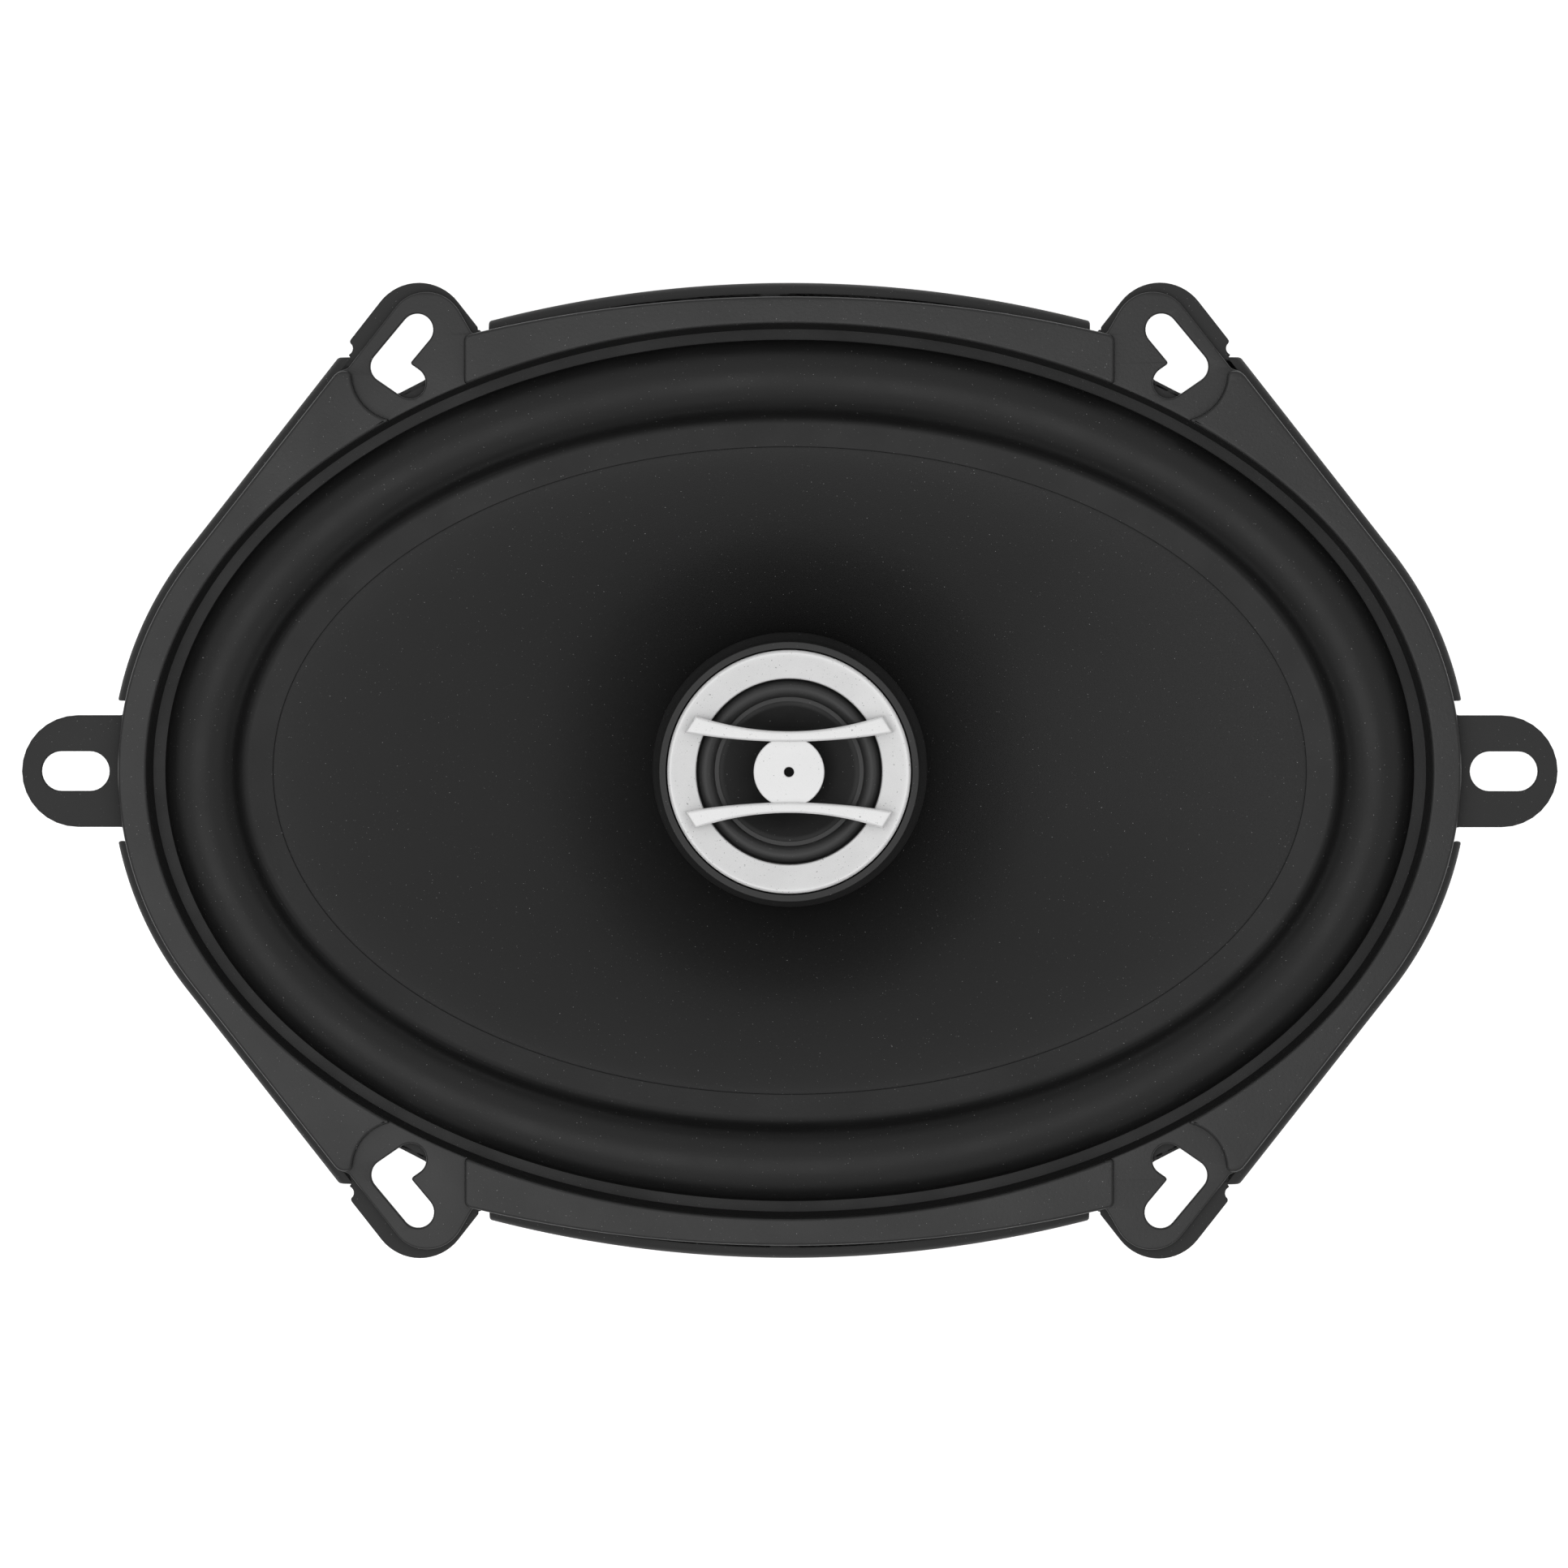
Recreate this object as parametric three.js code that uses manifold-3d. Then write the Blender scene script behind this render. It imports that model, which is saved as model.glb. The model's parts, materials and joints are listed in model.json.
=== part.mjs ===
// Oval 5 x 7 inch two-way coaxial car loudspeaker, in millimetres.
// The speaker lies face up: +Z runs along its axis to the front, +X along the long side.
// The origin is the centre of the rear face of the pole yoke, on which the speaker stands.
import * as THREE from "three";
import { mergeVertices } from "three/addons/utils/BufferGeometryUtils.js";
import Module from "manifold-3d";

const wasm = await Module();
wasm.setup();

// ---------- driving dimensions ----------

const OVERALL_LENGTH = 225; // over the tips of the side ears
const OVERALL_HEIGHT = 143; // over the corner ears and the long rims

// Heights above the rear face of the yoke.
const YOKE_PLATE_TOP = 4.5;
const MAGNET_TOP = 18.5;
const TOP_PLATE_TOP = 22.5;
const SPIDER_LEDGE = 32;
const SURROUND_LEDGE = 55.5;
const FLANGE_TOP = 58;
const GASKET_TOP = 61;
const EAR_POCKET = 59.4; // floor of the gasket's pockets at the corner ears
const SHEET = 1; // thickness of the pressed steel

// Round motor parts.
const YOKE_RADIUS = 37;
const MAGNET_RADIUS = 40;
const POLE_RADIUS = 12.2;
const GAP_RADIUS = 13.8; // bore of the top plate
const COIL_FORMER_INNER = 12.55;
const COIL_FORMER_OUTER = 12.8;
const COIL_OUTER = 13.4;

// Oval outlines, as half lengths and half heights.
const SURROUND_SEAT = { a: 94.3, b: 65.8 }; // outer edge of the surround's flat lip
const ROLL_OUTER = { a: 91.6, b: 63.2 };
const ROLL_INNER = { a: 80.7, b: 52.0 };
const CONE_SHOULDER = { a: 75.8, b: 47.5 }; // inner edge of the lip glued on the cone
const CONE_NECK = 12.85;
const ROLL_SKIN = 0.6;
const ROLL_CROWN = 60.3;

// Flange and gasket outlines: a short round end, a straight flank tangent to it, and a long shallow rim.
const FLANK_ANGLE = THREE.MathUtils.degToRad(38.1); // direction of the flank's normal
const FLANGE_OUTLINE = {
  endCentre: 47.5,
  endRadius: 52,
  flankTop: 61,
  rimRadius: 175.6,
  rimTop: OVERALL_HEIGHT / 2,
};
const GASKET_OUTLINE = { endCentre: 46.2, endRadius: 52, flankTop: 59, rimRadius: 201, rimTop: 69.4 };
const RIM_HALF_LENGTH = 60;
const LIP_DEPTH = 3.5; // how far the turned rim reaches behind the flange's front face

// Ears. The corner ears are mirrored into the four quadrants.
const SIDE_EAR = { x: 104.3, radius: OVERALL_LENGTH / 2 - 104.3 };
const SIDE_SLOT = { from: 102.55, to: 106.65, radius: 2.9 };
const CORNER_EAR = { x: 54.2, y: OVERALL_HEIGHT / 2 - 7.2, radius: 7.2 };
const GASKET_EAR = { x: 53.1, y: 64.9, radius: 5.7 };
const KEYHOLE = { top: [54.4, 64.6], elbow: [58.9, 59.2], toe: [55.5, 56.85], radius: 2.33 };
const KEYHOLE_EDGE = { x: 55.75, y: 56.05, turn: -27.2 }; // where the steel's opening stops; turn in degrees
const POCKET = { x: 57, y: 58.3, radius: 7, inner: 47.5, outer: 59.05 };
const TOP_LIP_END = 44; // half length of the long turned rims
const SIDE_LIP_END = 10.3; // where the turned rims stop short of the side ears
const RELIEF = 1.6; // width of the cuts beside the ends of the long rims
const ROUND_RELIEF = { x: 64.9, y: 61.9, radius: 1 }; // where the flank's rim ends at the corner ear

// Tweeter.
const POD_RADIUS = 19;
const POD_BORE = 18; // round the guard
const POD_CAVITY = 17; // below the shelf
const POD_TOP = 62;
const GUARD_RADIUS = 17.8;
const GUARD_BORE = 13.6;
const DOME_RADIUS = 9.9;
const POD_FLOOR = 46;
const POD_SHELF = 58;
const DOME_LIP = 59.2; // upper face of the dome's flat lip
const POST_RADIUS = 4;
const WIRE_RADIUS = 0.65;

const OVAL_SEGMENTS = 48;
const ROUND_SEGMENTS = 28;
const OUTLINE_SEGMENTS = 9; // along each arc of the flange's and the gasket's outlines

// ---------- geometry helpers ----------

// A three.js geometry as a manifold-3d solid.
function toSolid(geometry) {
  const bare = geometry.index ? geometry.toNonIndexed() : geometry.clone();
  bare.deleteAttribute("normal");
  bare.deleteAttribute("uv");
  const merged = mergeVertices(bare, 1e-4);
  const mesh = new wasm.Mesh({
    numProp: 3,
    vertProperties: merged.attributes.position.array,
    triVerts: new Uint32Array(merged.index.array),
  });
  return new wasm.Manifold(mesh);
}

// A manifold-3d solid as a three.js geometry.
function toGeometry(solid) {
  const mesh = solid.getMesh();
  const geometry = new THREE.BufferGeometry();
  geometry.setAttribute("position", new THREE.BufferAttribute(mesh.vertProperties, mesh.numProp));
  geometry.setIndex(new THREE.BufferAttribute(mesh.triVerts, 1));
  geometry.computeVertexNormals();
  return geometry;
}

// A closed ring or solid turned about Z from [radius, height] points, listed counter-clockwise.
function turned(profile, segments = ROUND_SEGMENTS) {
  const onAxis = profile[0][0] === 0;
  const loop = onAxis ? profile : [...profile, profile[0]];
  const points = loop.map(([radius, height]) => new THREE.Vector2(radius, height));
  return new THREE.LatheGeometry(points, segments).rotateX(Math.PI / 2);
}

// The same for an oval ring, from [half length, half height, z] points: a lathe of the short side,
// stretched along X by what each point's half length is more than its half height.
function ovalTurned(profile, segments = OVAL_SEGMENTS) {
  const loop = [...profile, profile[0]];
  const lathe = new THREE.LatheGeometry(loop.map(([, b, z]) => new THREE.Vector2(b, z)), segments);
  const position = lathe.attributes.position;
  for (let k = 0; k < position.count; k++) {
    const [a, b] = loop[k % loop.length];
    const angle = (2 * Math.PI * Math.floor(k / loop.length)) / segments;
    position.setX(k, position.getX(k) + (a - b) * Math.sin(angle));
  }
  return lathe.rotateX(Math.PI / 2);
}

function extruded(shape, bottom, top, curveSegments = 6) {
  const options = { depth: top - bottom, bevelEnabled: false, curveSegments };
  return new THREE.ExtrudeGeometry(shape, options).translate(0, 0, bottom);
}

// A solid oval plug whose facets fall in step with those of ovalTurned.
function ovalPlug(halfLength, halfHeight, bottom, top) {
  const oval = new THREE.Shape().absellipse(0, 0, halfLength, halfHeight, 0, 2 * Math.PI);
  return toSolid(extruded(oval, bottom, top, OVAL_SEGMENTS / 2));
}

function box(x0, x1, y0, y1, z0, z1) {
  const geometry = new THREE.BoxGeometry(x1 - x0, y1 - y0, z1 - z0);
  return geometry.translate((x0 + x1) / 2, (y0 + y1) / 2, (z0 + z1) / 2);
}

function cylinder(x, y, radius, bottom, top, segments = 20) {
  const geometry = new THREE.CylinderGeometry(radius, radius, top - bottom, segments);
  return geometry.rotateX(Math.PI / 2).translate(x, y, (bottom + top) / 2);
}

// A round-ended bar between two points: the outline of a slot.
function slotShape([x0, y0], [x1, y1], radius) {
  const heading = Math.atan2(y1 - y0, x1 - x0);
  const shape = new THREE.Shape();
  shape.absarc(x1, y1, radius, heading - Math.PI / 2, heading + Math.PI / 2);
  shape.absarc(x0, y0, radius, heading + Math.PI / 2, heading + (3 * Math.PI) / 2);
  return shape;
}

// A round wire through the given points, with two straight steps from each point to the next.
function wire(points, radius) {
  const places = points.map((point) => new THREE.Vector3(...point));
  const path = new THREE.CatmullRomCurve3(places, false, "centripetal");
  path.getUtoTmapping = (share) => share; // steps follow the points, not the length
  const section = new THREE.Shape().absarc(0, 0, radius, 0, 2 * Math.PI);
  const steps = 2 * (points.length - 1);
  const options = { steps, curveSegments: 3, bevelEnabled: false, extrudePath: path };
  return new THREE.ExtrudeGeometry(section, options);
}

// The four mirror images of a solid made for the +X, +Y quadrant.
function fourfold(solid) {
  const pair = solid.add(solid.mirror([1, 0, 0]));
  return pair.add(pair.mirror([0, 1, 0]));
}

// Both mirror images of a solid made for the +X side.
function leftAndRight(solid) {
  return solid.add(solid.mirror([1, 0, 0]));
}

// Outline of the flange or the gasket, moved in by inset.
function ovalOutline({ endCentre, endRadius, flankTop, rimRadius, rimTop }, inset = 0) {
  const end = endRadius - inset;
  const rim = rimRadius - inset;
  const rimCentre = rimTop - rimRadius; // on the Y axis, below the centre for the upper rim
  const rimStart = Math.acos(RIM_HALF_LENGTH / rim);
  // The flank's line is tangent to the round end, and stops at the corner.
  const cornerY = flankTop - inset;
  const reach = endCentre * Math.cos(FLANK_ANGLE) + end;
  const cornerX = (reach - cornerY * Math.sin(FLANK_ANGLE)) / Math.cos(FLANK_ANGLE);
  const shape = new THREE.Shape();
  shape.absarc(endCentre, 0, end, -FLANK_ANGLE, FLANK_ANGLE);
  shape.lineTo(cornerX, cornerY);
  shape.absarc(0, rimCentre, rim, rimStart, Math.PI - rimStart);
  shape.lineTo(-cornerX, cornerY);
  shape.absarc(-endCentre, 0, end, Math.PI - FLANK_ANGLE, Math.PI + FLANK_ANGLE);
  shape.lineTo(-cornerX, -cornerY);
  shape.absarc(0, -rimCentre, rim, Math.PI + rimStart, 2 * Math.PI - rimStart);
  shape.lineTo(cornerX, -cornerY);
  return shape;
}

// A corner ear: a round tip whose straight sides run back at the flank's slope.
function earShape({ x, y, radius }, outerRun, innerRun, innerAngle) {
  const shape = new THREE.Shape();
  const outer = [x + radius * Math.cos(FLANK_ANGLE), y + radius * Math.sin(FLANK_ANGLE)];
  const inner = [x + radius * Math.cos(innerAngle), y + radius * Math.sin(innerAngle)];
  shape.moveTo(outer[0] + outerRun * Math.sin(FLANK_ANGLE), outer[1] - outerRun * Math.cos(FLANK_ANGLE));
  shape.lineTo(...outer);
  shape.absarc(x, y, radius, FLANK_ANGLE, innerAngle);
  shape.lineTo(inner[0] - innerRun * Math.sin(innerAngle), inner[1] + innerRun * Math.cos(innerAngle));
  return shape;
}

const parts = new THREE.Group();

function addPart(name, shape, colour, roughness, metalness) {
  const geometry = shape.isBufferGeometry ? shape : toGeometry(shape);
  const material = new THREE.MeshStandardMaterial({ color: colour, roughness, metalness });
  const mesh = new THREE.Mesh(geometry, material);
  mesh.name = name;
  parts.add(mesh);
}

const blackSteel = [0x2c2c2c, 0.5, 0.3];
const platedSteel = [0x9a9a96, 0.4, 0.9];
const blackPlastic = [0x242424, 0.6, 0];
const rubber = [0x262626, 0.55, 0];
const formerFilm = [0xb98a3a, 0.5, 0];
const copper = [0x8a4b24, 0.4, 0.7];
const braid = [0x8a6a3a, 0.5, 0.5];
const redWire = [0x8c1c16, 0.5, 0];
const blackWire = [0x161616, 0.5, 0];

// ---------- pressed steel basket ----------

// The boomerang-shaped screw opening in a corner ear.
function keyhole(margin, bottom, top) {
  const radius = KEYHOLE.radius + margin;
  const upper = toSolid(extruded(slotShape(KEYHOLE.top, KEYHOLE.elbow, radius), bottom, top, 5));
  const lower = toSolid(extruded(slotShape(KEYHOLE.elbow, KEYHOLE.toe, radius), bottom, top, 5));
  return upper.add(lower);
}

function sideEarSlot(bottom, top) {
  const outline = slotShape([SIDE_SLOT.from, 0], [SIDE_SLOT.to, 0], SIDE_SLOT.radius);
  return toSolid(extruded(outline, bottom, top, 5));
}

// Section of the pressed bowl, from the flange in to the motor and back along the rear skin.
const basketSection = [
  [97.0, 68.3, FLANGE_TOP - SHEET],
  [97.0, 68.3, FLANGE_TOP],
  [95.0, 66.3, FLANGE_TOP],
  [95.0, 66.3, SURROUND_LEDGE],
  [90.0, 61.3, SURROUND_LEDGE],
  [88.0, 59.3, 53.5],
  [46.0, 44.0, 33.0],
  [44.0, 43.0, SPIDER_LEDGE],
  [38.0, 38.0, SPIDER_LEDGE],
  [37.0, 37.0, TOP_PLATE_TOP + SHEET],
  [20.0, 20.0, TOP_PLATE_TOP + SHEET],
  [20.0, 20.0, TOP_PLATE_TOP],
  [38.0, 38.0, TOP_PLATE_TOP],
  [39.0, 39.0, SPIDER_LEDGE - SHEET],
  [44.6, 43.6, SPIDER_LEDGE - SHEET],
  [47.0, 45.0, 32.2],
  [89.0, 60.3, 52.7],
  [90.4, 61.7, SURROUND_LEDGE - SHEET],
  [96.0, 67.3, SURROUND_LEDGE - SHEET],
  [96.0, 67.3, FLANGE_TOP - SHEET],
];

// Arms stand at the two ends and towards the four ears; windows are open between them.
const WINDOW_BOTTOM = 35;
const WINDOW_TOP = 51.5;
const WINDOWS = [[8, 41], [60, 120], [139, 172]]; // degrees, repeated on the other long side
const WINDOW_FLATNESS = 0.72; // height over length of the oval on which the angles are set out
const WINDOW_REACH = { inside: 40, outside: 120, beyond: 150 }; // from within the bowl's wall to clear of it

function basketWindow([from, to]) {
  const { inside, outside, beyond } = WINDOW_REACH;
  const shape = new THREE.Shape();
  const corner = (radius, degrees) => {
    const angle = THREE.MathUtils.degToRad(degrees);
    return [radius * Math.cos(angle), radius * WINDOW_FLATNESS * Math.sin(angle)];
  };
  shape.moveTo(...corner(inside, from));
  shape.lineTo(...corner(outside, from));
  shape.lineTo(...corner(beyond, (from + to) / 2));
  shape.lineTo(...corner(outside, to));
  shape.lineTo(...corner(inside, to));
  return toSolid(extruded(shape, WINDOW_BOTTOM, WINDOW_TOP));
}

const RIVET_CIRCLE = 30;
const RIVET_HOLE = 1.65;
const rivetPlaces = [45, 135, 225, 315].map((degrees) => {
  const angle = THREE.MathUtils.degToRad(degrees);
  return [RIVET_CIRCLE * Math.cos(angle), RIVET_CIRCLE * Math.sin(angle)];
});

const BOARD_RIVET = [0, -52];
const BOARD_HOLE = 1.15; // radius of the three rivet holes in the terminal board
const TONGUE = { half: 4.5, from: -44.4, to: -56 };

// Flange and turned rim. The rim is missing at the ears, and small reliefs part it from them.
function makeFlange() {
  const face = [FLANGE_TOP - SHEET, FLANGE_TOP];
  const below = [FLANGE_TOP - LIP_DEPTH - 1, FLANGE_TOP - SHEET];
  const through = [FLANGE_TOP - LIP_DEPTH - 1, FLANGE_TOP + 1];
  const outside = 101; // beyond the round end
  const above = 75; // beyond the long rim

  const sheet = toSolid(extruded(ovalOutline(FLANGE_OUTLINE), ...face, OUTLINE_SEGMENTS));
  const lipRing = ovalOutline(FLANGE_OUTLINE);
  lipRing.holes.push(ovalOutline(FLANGE_OUTLINE, SHEET));
  const lip = toSolid(extruded(lipRing, FLANGE_TOP - LIP_DEPTH, FLANGE_TOP - SHEET, OUTLINE_SEGMENTS));
  const cornerGap = toSolid(box(TOP_LIP_END, 67, 60.8, above, ...below));
  const sideGap = toSolid(box(-outside, outside, -SIDE_LIP_END, SIDE_LIP_END, ...below));

  const sideEar = toSolid(extruded(slotShape([80, 0], [SIDE_EAR.x, 0], SIDE_EAR.radius), ...face));
  const cornerEar = toSolid(extruded(earShape(CORNER_EAR, 12, 8, Math.PI - FLANK_ANGLE), ...face));
  const reliefs = toSolid(box(97.6, outside, SIDE_EAR.radius, SIDE_LIP_END, ...through))
    .add(toSolid(box(TOP_LIP_END, TOP_LIP_END + RELIEF, 64.6, 68, ...through)))
    .add(toSolid(cylinder(ROUND_RELIEF.x, ROUND_RELIEF.y, ROUND_RELIEF.radius, ...through)));

  // Each corner opening stops at a straight edge beside the bowl's step.
  const edge = box(-12, 12, -6, 0, -4, 4).rotateZ(THREE.MathUtils.degToRad(KEYHOLE_EDGE.turn));
  edge.translate(KEYHOLE_EDGE.x, KEYHOLE_EDGE.y, FLANGE_TOP);
  const cornerOpening = keyhole(0.2, ...through).subtract(toSolid(edge));

  return sheet.add(lip)
    .subtract(fourfold(cornerGap).add(sideGap))
    .add(leftAndRight(sideEar).add(fourfold(cornerEar)))
    .subtract(fourfold(reliefs.add(cornerOpening)))
    .subtract(leftAndRight(sideEarSlot(...through)))
    .subtract(ovalPlug(96.5, 67.8, 50, 60));
}

function makeBasket() {
  const bowl = toSolid(ovalTurned(basketSection));
  const windows = WINDOWS.map(basketWindow).reduce((all, one) => all.add(one));
  const tongue = box(-TONGUE.half, TONGUE.half, TONGUE.to, TONGUE.from, SPIDER_LEDGE - SHEET, SPIDER_LEDGE);
  const boardHole = cylinder(...BOARD_RIVET, BOARD_HOLE, SPIDER_LEDGE - 2, SPIDER_LEDGE + 1, 12);

  let basket = makeFlange().add(bowl);
  basket = basket.subtract(windows.add(windows.mirror([0, 1, 0]))).add(toSolid(tongue));
  for (const [x, y] of rivetPlaces) {
    basket = basket.subtract(toSolid(cylinder(x, y, RIVET_HOLE, TOP_PLATE_TOP - 2, TOP_PLATE_TOP + 2, 12)));
  }
  return basket.subtract(toSolid(boardHole));
}

// ---------- front gasket ----------

// Pocket in the raised band at a corner ear: a straight side, an arc round the screw, then open outwards.
function pocketShape() {
  const { x, y, radius, inner, outer } = POCKET;
  const low = y - radius;
  const outside = OVERALL_HEIGHT / 2 + 4;
  const shape = new THREE.Shape();
  shape.moveTo(inner, outside);
  shape.lineTo(inner, low);
  shape.absarc(x, y, radius, -Math.PI / 2, 0);
  shape.lineTo(x + radius, outer);
  shape.lineTo(outside, outer);
  shape.lineTo(outside, outside);
  return shape;
}

function makeGasket() {
  const plate = toSolid(extruded(ovalOutline(GASKET_OUTLINE), FLANGE_TOP, GASKET_TOP, OUTLINE_SEGMENTS));
  // The inner wall leans in as it runs down to the surround's lip, which it clamps.
  const skirt = ovalTurned([
    [93.3, 64.7, SURROUND_LEDGE + ROLL_SKIN],
    [94.6, 65.9, SURROUND_LEDGE + ROLL_SKIN],
    [94.6, 65.9, FLANGE_TOP],
    [95.6, 66.9, FLANGE_TOP],
    [95.6, 66.9, GASKET_TOP],
    [94.1, 65.5, GASKET_TOP],
  ]);
  const pocket = toSolid(extruded(pocketShape(), EAR_POCKET, GASKET_TOP + 1));
  const earOutline = earShape(GASKET_EAR, 12, 6, THREE.MathUtils.degToRad(150));
  const ear = toSolid(extruded(earOutline, FLANGE_TOP, EAR_POCKET));
  const opening = keyhole(0, FLANGE_TOP - 1, GASKET_TOP + 1);
  const body = plate.subtract(ovalPlug(94.3, 65.8, 50, 65)).add(toSolid(skirt)).subtract(fourfold(pocket));
  const ears = fourfold(ear.subtract(ovalPlug(94, 65.4, 50, 65)));
  return body.add(ears).subtract(fourfold(opening));
}

// ---------- woofer cone, suspension and coil ----------

const CONE_THICKNESS = 0.8;
const CONE_RIM = { a: 80.4, b: 51.7 }; // outer edge of the cone's flat rim
const RIM_TOP = 55.2; // upper face of the cone's flat rim
const NECK_TOP = 36;
const NECK_DEPTH = 2.5; // how far the glued neck runs down the coil former

// Point of the cone's upper face, s running from the neck to the shoulder.
function conePoint(s) {
  const rise = 1 - Math.pow(1 - s, 1.4);
  return [
    CONE_NECK + (CONE_SHOULDER.a - CONE_NECK) * s,
    CONE_NECK + (CONE_SHOULDER.b - CONE_NECK) * s,
    NECK_TOP + (RIM_TOP - NECK_TOP) * rise,
  ];
}

function makeCone() {
  const upper = [1, 0.75, 0.5, 0.28, 0.12, 0].map(conePoint);
  const lower = upper.map(([a, b, z]) => [a + 0.15, b + 0.15, z - CONE_THICKNESS]).reverse();
  const rim = [[CONE_RIM.a, CONE_RIM.b, RIM_TOP - CONE_THICKNESS], [CONE_RIM.a, CONE_RIM.b, RIM_TOP]];
  const neckOuter = CONE_NECK + 0.6;
  const neck = [[CONE_NECK, CONE_NECK, NECK_TOP - NECK_DEPTH], [neckOuter, neckOuter, NECK_TOP - NECK_DEPTH]];
  return ovalTurned([...rim, ...upper, ...neck, ...lower]);
}

// Half roll between two lips, in one skin of rubber.
function makeSurround() {
  const lipTop = SURROUND_LEDGE + ROLL_SKIN;
  const width = ROLL_OUTER.a - ROLL_INNER.a;
  const arch = (inset) => [0, 1, 2, 3, 4, 5].map((k) => {
    const angle = (Math.PI * k) / 5;
    const share = 0.5 - (0.5 - inset / width) * Math.cos(angle);
    const foot = lipTop + (RIM_TOP + ROLL_SKIN - lipTop) * share;
    return [
      ROLL_OUTER.a + (ROLL_INNER.a - ROLL_OUTER.a) * share,
      ROLL_OUTER.b + (ROLL_INNER.b - ROLL_OUTER.b) * share,
      foot + (ROLL_CROWN - inset - lipTop) * Math.sin(angle),
    ];
  });
  const outside = arch(0);
  const inside = arch(ROLL_SKIN).reverse();
  inside[0][2] = RIM_TOP;
  inside[5][2] = SURROUND_LEDGE;
  return ovalTurned([
    [SURROUND_SEAT.a, SURROUND_SEAT.b, SURROUND_LEDGE],
    [SURROUND_SEAT.a, SURROUND_SEAT.b, lipTop],
    ...outside,
    [CONE_SHOULDER.a, CONE_SHOULDER.b, RIM_TOP + ROLL_SKIN],
    [CONE_SHOULDER.a, CONE_SHOULDER.b, RIM_TOP],
    ...inside,
  ]);
}

// Flat outer lip on the ledge, then shallow waves in to the coil former.
function makeSpider() {
  const skin = 0.5;
  const waves = 3;
  const depth = 0.8;
  const inner = 16;
  const outer = 36.5;
  const samples = 10;
  const lower = [[COIL_FORMER_OUTER + 0.15, SPIDER_LEDGE], [inner, SPIDER_LEDGE]];
  for (let k = 1; k < samples; k++) {
    const share = k / samples;
    const wave = Math.sin(2 * Math.PI * waves * share);
    lower.push([inner + (outer - inner) * share, SPIDER_LEDGE + depth * wave]);
  }
  lower.push([outer, SPIDER_LEDGE], [42.6, SPIDER_LEDGE]);
  const upper = lower.map(([r, z]) => [r, z + skin]).reverse();
  return turned([...lower, ...upper]);
}

// ---------- tweeter ----------

function makePod() {
  const wireHole = 3.2;
  const floorTop = POD_FLOOR + 1.5;
  const shell = turned([
    [wireHole, POD_FLOOR], [19.6, POD_FLOOR], [20.3, 46.8], [20.3, 48.2],
    [POD_RADIUS, 50.5], [POD_RADIUS, POD_TOP], [POD_BORE, POD_TOP], [POD_BORE, POD_SHELF],
    [POD_CAVITY, POD_SHELF], [POD_CAVITY, floorTop], [wireHole, floorTop],
  ]);
  let pod = toSolid(shell);
  for (const degrees of [45, 135, 225, 315]) {
    const rib = box(5, 12.5, -0.8, 0.8, 47, 50).rotateZ(THREE.MathUtils.degToRad(degrees));
    pod = pod.add(toSolid(rib));
  }
  return pod;
}

// Inverted dome with a flat lip.
function makeTweeterDome() {
  const skin = 0.25;
  const sag = 2.1;
  const face = [0, 0.33, 0.66, 1].map((s) => [DOME_RADIUS * s, DOME_LIP - sag * (1 - s * s)]);
  const back = face.map(([r, z]) => [r, z - skin]);
  return turned([...back, [10.9, DOME_LIP - skin], [10.9, DOME_LIP], ...face.reverse()]);
}

function makeTweeterSurround() {
  const skin = 0.25;
  const middle = 12.2;
  const halfWidth = 1.3;
  const arc = (radius, start) => [0, 1, 2, 3, 4].map((k) => {
    const angle = (Math.PI * k) / 4;
    return [middle + radius * Math.cos(angle), start + radius * Math.sin(angle)];
  });
  const outer = arc(halfWidth, DOME_LIP);
  const inner = arc(halfWidth - skin, DOME_LIP - skin).reverse();
  outer[4][1] += skin;
  inner[0][1] += skin;
  const innerLip = [[10.3, DOME_LIP + skin], [10.3, DOME_LIP]];
  return turned([[14.7, DOME_LIP - skin], [14.7, DOME_LIP], ...outer, ...innerLip, ...inner]);
}

// Dished ring, two bars that bow towards the middle, and a pierced disc between them, moulded in one.
function makeGuard() {
  const ring = turned([
    [14.2, DOME_LIP], [GUARD_RADIUS, DOME_LIP], [GUARD_RADIUS, 62.2], [17.45, 62.6], [17, 62.5],
    [GUARD_BORE, 61.3], [GUARD_BORE, 60.2],
  ]);
  const bar = new THREE.Shape();
  bar.moveTo(15.2, 5.76);
  bar.lineTo(13.66, 8.2);
  bar.quadraticCurveTo(0, 3.7, -13.66, 8.2);
  bar.lineTo(-15.2, 5.76);
  bar.quadraticCurveTo(0, 3.1, 15.2, 5.76);
  const bars = toSolid(extruded(bar, 61.9, 63.8, 12));
  const disc = turned([[0.72, 62], [5.17, 62], [5.17, 63], [0.72, 63]]);
  return toSolid(ring).add(bars).add(bars.mirror([0, 1, 0])).add(toSolid(disc));
}

// ---------- magnet system ----------

const NUT_SEAT = 8;
const GROOVE = { half: 2.25, depth: 2.6 };

// Back plate and pole in one forging, counterbored for the post's nut, grooved for the tweeter's wires.
function makeYoke() {
  const body = turned([
    [4.15, NUT_SEAT], [8.2, NUT_SEAT], [8.2, 0], [YOKE_RADIUS - 0.8, 0], [YOKE_RADIUS, 0.8],
    [YOKE_RADIUS, YOKE_PLATE_TOP], [POLE_RADIUS, YOKE_PLATE_TOP], [POLE_RADIUS, TOP_PLATE_TOP],
    [4.15, TOP_PLATE_TOP],
  ]);
  const groove = box(-GROOVE.half, GROOVE.half, -YOKE_RADIUS - 1, -5, -1, GROOVE.depth);
  return toSolid(body).subtract(toSolid(groove));
}

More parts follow.
